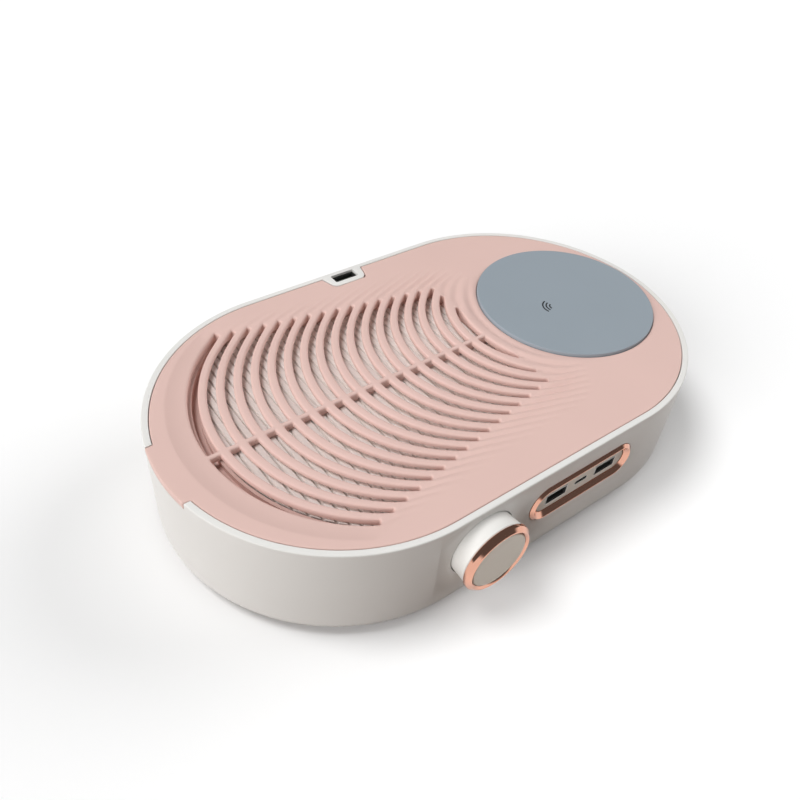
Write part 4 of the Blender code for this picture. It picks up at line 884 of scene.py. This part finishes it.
def makeShell():
    wall, gap = body["wall"], body["gap"]
    profile = [(shell["baseInset"], 0)]
    for step in range(shell["filletSteps"] + 1):
        turn = math.pi / 2 * step / shell["filletSteps"]
        profile.append((shell["fillet"] * (1 - math.sin(turn)), shell["fillet"] * (1 - math.cos(turn))))
    for step in range(7):
        turn = math.pi / 2 * step / 6
        profile.append((shell["rimRound"] * (1 - math.cos(turn)), topZ - shell["rimDrop"] * (1 - math.sin(turn))))
    ledgeLow = ledgeTop - shell["ledgeThickness"]
    inner = wall + shell["ledgeWidth"]
    profile += [(wall - 0.0002, topZ), (wall, topZ - 0.0002), (wall, ledgeTop), (inner, ledgeTop),
                (inner, ledgeLow), (wall, ledgeLow), (wall, shell["floor"]),
                (shell["baseInset"] + shell["baseLip"], shell["floor"]),
                (shell["baseInset"] + shell["baseLip"], shell["basePocket"]),
                (shell["baseInset"], shell["basePocket"]), (shell["baseInset"], 0)]
    line = [(halfWidth - inset, height) for inset, height in profile]
    piece = spun("shell_body", line, (0, 0, 0), (0, 0, 1), shell["turnSteps"], math.pi / shell["turnSteps"])
    stretched(piece, 0, endX)
    print("shell: tub")

    join(piece, frontBar("knobBoss", 0.0180, -0.0060, -wall / 2, knobSpot))
    x, z = knobSpot
    seat = slab("knobPad", (x - 0.0239, -halfWidth - 0.002, z - 0.0184),
                (x + 0.0239, -halfWidth + 0.0005, z + 0.0184), 0.0120, 1, 10)
    selectWhere(seat, "VERT", lambda co: co.y < -halfWidth - 0.001)
    bpy.ops.transform.resize(value=(1.25, 1, 1.32))
    objectMode()
    cut(piece, seat,
        frontBar("knobPocket", 0.0167, -0.0040, 0.002, knobSpot, 128),
        frontBar("bushingHole", 0.0045, -0.0080, -0.002, knobSpot, 48))

    lamp = slab("lampBlock", (-shell["lampRim"], shell["lampInnerY"], topZ - shell["lampDepth"]),
                (shell["lampRim"], halfWidth - wall / 2, topZ))
    selectWhere(lamp, "VERT", lambda co: co.y < shell["lampInnerY"] + 0.001)
    bpy.ops.transform.resize(value=(shell["lampInner"] / shell["lampRim"], 1, 1))
    selectWhere(lamp, "EDGE", lambda a, b: abs(a.x - b.x) + abs(a.y - b.y) < 1e-6 and a.y < 0.074)
    bpy.ops.mesh.bevel(offset=shell["lampCorner"], segments=6, profile=0.5, affect="EDGES")
    selectWhere(lamp, "EDGE", lambda a, b: min(a.z, b.z) > topZ - 1e-5 and min(a.y, b.y) < 0.0825)
    bpy.ops.mesh.bevel(offset=0.0003, segments=3, profile=0.5, affect="EDGES")
    objectMode()
    join(piece, lamp)
    mouthX, mouthY = shell["lampMouth"]
    cut(piece, slab("lampPocket", (-mouthX / 2, shell["lampMouthY"] - mouthY / 2, topZ - 0.0165),
                    (mouthX / 2, shell["lampMouthY"] + mouthY / 2, topZ + 0.002), 0.0008))
    print("shell: knob seat and lamp block")

    bosses, holes = [], []
    for number in range(1, 5):
        a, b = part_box(f"shell_magnet_{number}")
        place = ((a.x + b.x) / 2 - unitPlace.x, (a.y + b.y) / 2 - unitPlace.y)
        bosses.append(roundBar("magnetBoss", shell["magnetBoss"], ledgeTop - 0.004, ledgeTop, place))
        holes.append(roundBar("magnetHole", shell["magnetSeat"], ledgeTop - 0.0019, ledgeTop + 0.001, place))
        a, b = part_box(f"base_screw_{number}")
        place = ((a.x + b.x) / 2 - unitPlace.x, (a.y + b.y) / 2 - unitPlace.y)
        bosses.append(roundBar("baseBoss", 0.0045, 0.0028, 0.0118, place))
        holes.append(roundBar("baseHole", 0.0016, -0.001, 0.0088, place, 24))
    deckLow = 0.0267
    for number in (1, 2):
        a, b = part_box(f"deck_screw_{number}")
        place = ((a.x + b.x) / 2 - unitPlace.x, (a.y + b.y) / 2 - unitPlace.y)
        bosses.append(roundBar("deckPost", shell["postRadius"], 0.0035, deckLow, place))
        holes.append(roundBar("deckHole", 0.0016, deckLow - 0.006, deckLow + 0.002, place, 24))
        side = 1 if number == 1 else -1
        place = (portSpot[0] + side * 0.0275, -(halfWidth - wall - 0.0045))
        bosses.append(roundBar("portPost", 0.0026, 0.0035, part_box("port_board")[0].z - unitPlace.z - gap, place))
    join(piece, *bosses)
    cut(piece, *holes)
    print("shell: bosses")

    place = (portSpot[0] + ports["shift"], portSpot[1])
    for name, size, low in (("bezelSeat", ports["bezel"], -0.0012), ("portWindow", ports["panel"], -0.005)):
        cut(piece, frontCapsule(name, size[0] + 2 * gap, size[1] + 2 * gap, low, 0.002, place))
    middle = (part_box("fan_impeller")[0].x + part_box("fan_impeller")[1].x) / 2 - unitPlace.x
    ductX = middle + (0.066 + 0.048 * math.cos(math.radians(65))) / 2
    for number in range(shell["louvres"]):
        x = ductX + shell["louvrePitch"] * (number - (shell["louvres"] - 1) / 2)
        half = shell["louvreWidth"] / 2
        cut(piece, slab("louvre", (x - half, halfWidth - wall - 0.002, shell["louvreLow"]),
                        (x + half, halfWidth + 0.002, shell["louvreHigh"]), half * 0.99, 1, 5))
    reach = lid["tabHalf"] + gap
    cut(piece, slab("tabNotch", (-halfLength - 0.002, -reach, ledgeTop),
                    (-halfLength + 2 * wall, reach, topZ + 0.002)))
    print("shell: openings,", len(piece.data.polygons), "faces")
    return settle(piece, "body", "shellWhite", 30, ["body_shell"])


# Charging pad: the soft disc seated in the lid
pad = {"radius": 0.0467, "edge": 0.0005, "low": 0.0517, "high": 0.0541, "steps": 192}


def makePad():
    radius, edge = pad["radius"], pad["edge"]
    profile = [(0, pad["low"]), (radius, pad["low"])]
    for step in range(6):
        turn = math.pi / 2 * step / 5
        profile.append((radius - edge * (1 - math.cos(turn)), pad["high"] - edge * (1 - math.sin(turn))))
    profile += [(radius * 0.97, pad["high"]), (0, pad["high"])]
    piece = spun("pad_disc", profile, (lid["padX"], 0, 0), (0, 0, 1), pad["steps"])
    return settle(piece, "cover", "padSlate", 40, ["charging_pad"])


# Small mark on the pad: three arcs one round the other, with nothing written
mark = {"place": (0.0768, -0.0022), "radii": (0.0022, 0.0040, 0.0058), "width": 0.0007, "proud": 0.00006, "reach": 50}


def makeMark():
    x, y = mark["place"]
    arcs = []
    for number, radius in enumerate(mark["radii"]):
        half = mark["width"] / 2
        low, high = pad["high"] - 0.0001, pad["high"] + mark["proud"]
        profile = [(radius - half, low), (radius + half, low), (radius + half, high), (radius - half, high),
                   (radius - half, low)]
        arc = spun("pad_mark", profile, (x, y, 0), (0, 0, 1), 72)
        editMode()
        for side in (1, -1):
            turn = math.radians(150 + side * mark["reach"])
            bpy.ops.mesh.select_all(action="SELECT")
            bpy.ops.mesh.bisect(plane_co=(x, y, 0), plane_no=(side * math.sin(turn), -side * math.cos(turn), 0),
                                use_fill=True, clear_inner=True)
        bpy.ops.mesh.select_all(action="SELECT")
        bpy.ops.mesh.normals_make_consistent(inside=False)
        objectMode()
        arcs.append(arc)
    deselectAll()
    for arc in arcs:
        arc.select_set(True)
    bpy.context.view_layer.objects.active = arcs[0]
    bpy.ops.object.join()
    return settle(arcs[0], "cover", "socketDark", 30)


# Knob: white flared body, bright ring and a grey face set a little back in it
knob = {
    "root": 0.0162, "flare": 0.0166, "ring": 0.0172, "ringInner": 0.0142, "ringStart": 0.0076,
    "front": 0.0110, "face": 0.0139, "bevel": 0.0016, "innerBevel": 0.0008, "steps": 160,
}


def makeKnob():
    centre, outwards = (knobSpot[0], -halfWidth, knobSpot[1]), (0, -1, 0)
    root, flare, start = knob["root"], knob["flare"], knob["ringStart"] - body["gap"]
    profile = [(0, 0.0096), (0.0150, 0.0096), (0.0150, start), (flare - 0.0003, start), (flare, start - 0.0003)]
    profile += [(root + (flare - root) * share ** 1.6, (start - 0.0004) * share) for share in (0.8, 0.6, 0.4, 0.2, 0)]
    profile += [(root, -0.0030), (root - 0.0002, -0.0032), (root - 0.0020, -0.0032), (root - 0.0020, 0.0063),
                (0.0055, 0.0063), (0.0055, -0.0012), (0.0033, -0.0012), (0.0033, 0.0055), (0, 0.0055)]
    bodyPiece = spun("knob_barrel", profile, centre, outwards, knob["steps"])
    settle(bodyPiece, "knob", "shellWhite", 35, ["knob_body"])

    outer, inner, front = knob["ring"], knob["ringInner"], knob["front"]
    profile = [(0.0153, 0.0099), (0.0153, knob["ringStart"]), (outer - 0.0003, knob["ringStart"]),
               (outer, knob["ringStart"] + 0.0003)]
    bevel, innerBevel = knob["bevel"], knob["innerBevel"]
    profile += [(outer, front - bevel - 0.0002), (outer - 0.0001, front - bevel),
                (outer - 0.00025, front - bevel + 0.00015), (outer - bevel + 0.00015, front - 0.00025),
                (outer - bevel, front - 0.0001),
                (outer - bevel - 0.0002, front), (inner + innerBevel + 0.0002, front),
                (inner + innerBevel, front - 0.0001), (inner, front - innerBevel), (inner, 0.0099), (0.0153, 0.0099)]
    ring = spun("knob_trim", profile, centre, outwards, knob["steps"])
    settle(ring, "knob", "roseGold", 35, ["knob_ring"])

    low, high = 0.0099, 0.0105
    profile = [(0, low), (knob["face"], low), (knob["face"], high - 0.0002), (knob["face"] - 0.0002, high), (0, high)]
    face = spun("knob_cap", profile, centre, outwards, knob["steps"])
    settle(face, "knob", "knobGrey", 30, ["knob_face"])


# Ports: bright bezel round a grey panel with two wide sockets and a small one
ports = {
    "bezel": (0.0642, 0.0198), "window": (0.0564, 0.0120), "edge": 0.0001, "ridge": 0.0084, "proud": 0.0013, "deep": -0.0006,
    "panel": (0.0592, 0.0148), "panelFront": -0.0007, "panelBack": -0.0035, "steps": 96,
    "shift": -0.0015,         # of the bezel and the panel from the middle of the three sockets
    "wide": (0.0133, 0.0059), "spacing": 0.0156, "small": (0.0082, 0.0026),
}


def makePorts():
    x, z = portSpot
    middleX = x + ports["shift"]
    centre, outwards = (middleX, -halfWidth, z), (0, -1, 0)
    length, height = ports["bezel"]
    window = ports["window"][1] / 2
    outer, ridge, proud = height / 2, ports["ridge"], ports["proud"]
    profile = [(window, -0.0010), (outer, -0.0010), (outer, ports["edge"]), (ridge + 0.00020, proud - 0.00012),
               (ridge + 0.00008, proud - 0.00002), (ridge - 0.00008, proud - 0.00002),
               (ridge - 0.00020, proud - 0.00012), (window, ports["deep"]), (window, -0.0010)]
    bezel = spun("bezel_trim", profile, centre, outwards, ports["steps"], math.pi / ports["steps"])
    stretched(bezel, middleX, (length - height) / 2)
    settle(bezel, "body", "roseGold", 40, ["port_bezel"])

    front, back = ports["panelFront"], ports["panelBack"]
    radius, face = ports["panel"][1] / 2, window - body["gap"]
    profile = [(0, back), (radius, back), (radius, -0.0012), (face, -0.0012), (face, front - 0.0002),
               (face - 0.0002, front), (0, front)]
    panel = spun("panel_face", profile, centre, outwards, ports["steps"], math.pi / ports["steps"])
    stretched(panel, middleX, (ports["panel"][0] - ports["panel"][1]) / 2)
    wide, tall = ports["wide"]
    for side in (-1, 1):
        middle = middleX + side * ports["spacing"]
        cut(panel, slab("wideMouth", (middle - wide / 2, -halfWidth - 0.002, z - tall / 2),
                        (middle + wide / 2, -halfWidth + 0.006, z + tall / 2), 0.0003, 1, 3))
    place = (middleX, z)
    cut(panel, frontCapsule("smallMouth", *ports["small"], -0.006, 0.002, place, 32))
    settle(panel, "body", "portGrey", 30, ["port_panel"])

    rim = frontCapsule("small_shell", 0.0081, 0.0025, -0.0100, front, place, 32)
    cut(rim, frontCapsule("smallBore", 0.0077, 0.0021, -0.0095, 0.001, place, 32))
    settle(rim, "body", "steel", 30, ["usb_c_socket"])
    well = frontCapsule("small_well", 0.0076, 0.0020, -0.0094, front - 0.0005, place, 32)
    cut(well, frontCapsule("wellBore", 0.0070, 0.0014, -0.0090, 0, place, 32))
    settle(well, "body", "socketDark", 30, ["usb_c_tongue"])


# Sockets for wide plugs: a pressed steel shell, a dark well in it and a tongue for the contacts
plug = {
    "shell": (0.0131, 0.0057), "wall": 0.0003, "fit": 0.00002, "liner": 0.0004, "sink": 0.0006,
    "back": 0.0009, "tongue": (0.0106, 0.0018), "tongueSink": 0.0024, "lift": 0.0010,
}


def makePlug(number, node, mouth, upright, tongueLook):
    low, high = [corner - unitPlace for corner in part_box(node)]
    middle = (low + high) / 2
    if not upright:
        middle.x += ports["shift"]
    end = low.z if upright else -high.y

    # Block given by its two half sizes, its lift and its two ends along the way out
    def part(name, size, lift, inner, outer, corner=0):
        x0, x1 = middle.x - size[0] / 2, middle.x + size[0] / 2
        if upright:
            y = middle.y + lift
            return slab(name, (x0, y - size[1] / 2, inner), (x1, y + size[1] / 2, outer), corner, 2, 3)
        z = middle.z + lift
        return slab(name, (x0, -outer, z - size[1] / 2), (x1, -inner, z + size[1] / 2), corner, 1, 3)

    def shrink(amount):
        return plug["shell"][0] - 2 * amount, plug["shell"][1] - 2 * amount

    wall, liner = plug["wall"], plug["wall"] + plug["fit"]
    shellPiece = part(f"plug_shell_{number}", plug["shell"], 0, end, mouth, 0.0004)
    cut(shellPiece, part("shellBore", shrink(wall), 0, end + plug["back"], mouth + 0.002, 0.0002))
    settle(shellPiece, "body", "steel", 30, [node])
    well = part(f"plug_well_{number}", shrink(liner), 0, end + plug["back"] + plug["fit"], mouth - plug["sink"])
    bore = shrink(liner + plug["liner"])
    cut(well, part("wellBore", bore, 0, end + plug["back"] + plug["liner"], mouth + 0.002))
    settle(well, "body", "socketDark", 30)
    tongue = part(f"plug_tongue_{number}", plug["tongue"], plug["lift"], end + plug["back"] + 0.0005,
                  mouth - plug["tongueSink"])
    selectWhere(tongue, "EDGE", lambda a, b: abs(a.x - b.x) > 0.005)
    bpy.ops.mesh.bevel(offset=0.0002, segments=2, affect="EDGES")
    objectMode()
    settle(tongue, "body", tongueLook, 30, [f"{node}_tongue"])


# Filter: one sheet folded into round-topped pleats, inside the cassette's frame
filterFold = {
    "pitch": 0.0036, "top": 0.0466, "depth": 0.0034, "sheet": 0.0007, "perFold": 16,
    "firstX": -0.1173, "firstRadius": 0.0839, "shiftY": 0,
    "tipStart": (-0.0820, 0.0680), "tipEnd": (0.0332, 0.0445),
}


# Skirt: the lid's own wall round the pleats, with a floor under the first slot
skirt = {
    "outer": 0.0010, "inner": 0.0003, "flange": 0.0034, "flangeLow": 0.04655, "low": 0.0430, "floor": 0.0436,
    "high": 0.0470, "reach": 0.0045, "lip": 0.0005, "lipHigh": 0.0464,
}


# Flat outline of the field with its rounded end moved in, made a block
def fieldBlock(name, margin, moved, low, high):
    shape = dict(filterFold, firstX=filterFold["firstX"] + moved, firstRadius=filterFold["firstRadius"] - moved)
    loop = fieldLoop(margin, shape)
    mesh = bpy.data.meshes.new(name)
    mesh.from_pydata([(x, y, low) for x, y in loop], [], [list(range(len(loop)))])
    block = bpy.data.objects.new(name, mesh)
    bpy.context.scene.collection.objects.link(block)
    pick(block)
    editMode()
    bpy.ops.mesh.select_all(action="SELECT")
    bpy.ops.mesh.extrude_region_move(TRANSFORM_OT_translate={"value": (0, 0, high - low)})
    bpy.ops.mesh.select_all(action="SELECT")
    bpy.ops.mesh.normals_make_consistent(inside=False)
    objectMode()
    return block


def makeSkirt():
    inner, low, floor, high = skirt["inner"], skirt["low"], skirt["floor"], skirt["high"]
    wall = fieldBlock("lid_skirt", skirt["outer"], 0, low, high)
    join(wall, fieldBlock("skirtFlange", skirt["flange"], 0, skirt["flangeLow"], high))
    trough = fieldBlock("skirtTrough", inner, 0, floor, high + 0.001)
    cut(trough, fieldBlock("skirtLip", inner + 0.001, skirt["reach"] - skirt["lip"], floor - 0.001, high + 0.002))
    cut(wall, trough, fieldBlock("skirtWindow", inner, skirt["reach"], low - 0.001, high + 0.001),
        fieldBlock("skirtTop", inner, 0, skirt["lipHigh"], high + 0.001))
    settle(wall, "cover", "coverPink", 30)


def makeFilter():
    clear = body["gap"]
    room = fieldBlock("filterRoom", skirt["inner"] - clear, skirt["reach"] + clear, filterFold["top"] - 0.008,
                      filterFold["top"] + 0.002)
    places = [vertex.co for vertex in room.data.vertices]
    left, right = min(place.x for place in places) - 0.001, max(place.x for place in places) + 0.001
    reach = max(place.y for place in places) + 0.001
    count = math.ceil((right - left) / filterFold["pitch"])
    ridge = []
    for step in range(count * filterFold["perFold"] + 1):
        fold = step / filterFold["perFold"]
        across = abs(2 * (fold % 1) - 1)
        ridge.append((left + fold * filterFold["pitch"], filterFold["top"] - filterFold["depth"] * across ** 10))
    places = [Vector((x, -reach, z)) for x, z in ridge]
    deselectAll()
    bpy.ops.mesh.primitive_plane_add(size=0.001, location=(0, 0, 0))
    sheet = bpy.context.object
    sheet.name = "filter_sheet"
    editMode()
    bpy.ops.mesh.select_mode(type="VERT")
    bpy.ops.mesh.select_all(action="SELECT")
    bpy.ops.mesh.merge(type="CENTER")
    bpy.ops.transform.translate(value=places[0])
    for here, there in zip(places, places[1:]):
        bpy.ops.mesh.extrude_region_move(TRANSFORM_OT_translate={"value": there - here})
    bpy.ops.mesh.select_all(action="SELECT")
    bpy.ops.mesh.extrude_region_move(TRANSFORM_OT_translate={"value": (0, 2 * reach, 0)})
    bpy.ops.mesh.select_all(action="SELECT")
    bpy.ops.mesh.extrude_region_move(TRANSFORM_OT_translate={"value": (0, 0, -filterFold["sheet"])})
    bpy.ops.mesh.select_all(action="SELECT")
    bpy.ops.mesh.normals_make_consistent(inside=False)
    objectMode()
    combine(sheet, room, "INTERSECT")
    print("filter:", len(sheet.data.polygons), "faces")
    settle(sheet, "filter", "filterPaperPaintedBounce", 50, ["filter_pleats"])


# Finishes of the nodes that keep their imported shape
carried = {
    "shell_white": "shellWhite", "cover_pink": "coverPink", "pad_slate": "padSlate", "rose_gold": "roseGold",
    "knob_face": "knobGrey", "port_grey": "portGrey", "steel": "steel", "socket_black": "socketDark",
    "filter_paper": "filterPaperPaintedBounce", "foam": "foam", "foot_rubber": "footRubber",
    "inner_plastic": "innerPlastic", "board": "boardGreen", "copper": "copperWire",
    "ferrite": "ferriteDark", "battery": "cellWrap",
}


def dressNodes():
    slotOf = {part["node"]: part["material_slot"] for part in frame["record"]["subparts"]}
    for name, node in nodes.items():
        piece = node if hasattr(node, "data") else bpy.data.objects[name]
        look = finish(carried[slotOf[name]])
        if not piece.material_slots:
            piece.data.materials.append(look)
        for slot in piece.material_slots:
            slot.material = look


setCamera()
makeFloor()
makeWorld()
makeLamps()
dressNodes()
print("stage ready")
makeLid()
makePad()
makeMark()
makeKnob()
makePorts()
for number, (node, mouth, upright, look) in enumerate((
        ("usb_socket_1", halfWidth + ports["panelFront"] + 0.0001, False, "socketDark"),
        ("usb_socket_2", halfWidth + ports["panelFront"] + 0.0001, False, "socketDark"),
        ("lamp_socket", topZ - 0.0010, True, "tongueGrey"))):
    makePlug(number + 1, node, mouth, upright, look)
print("knob, ports and sockets made")
makeSkirt()
makeFilter()
makeShell()
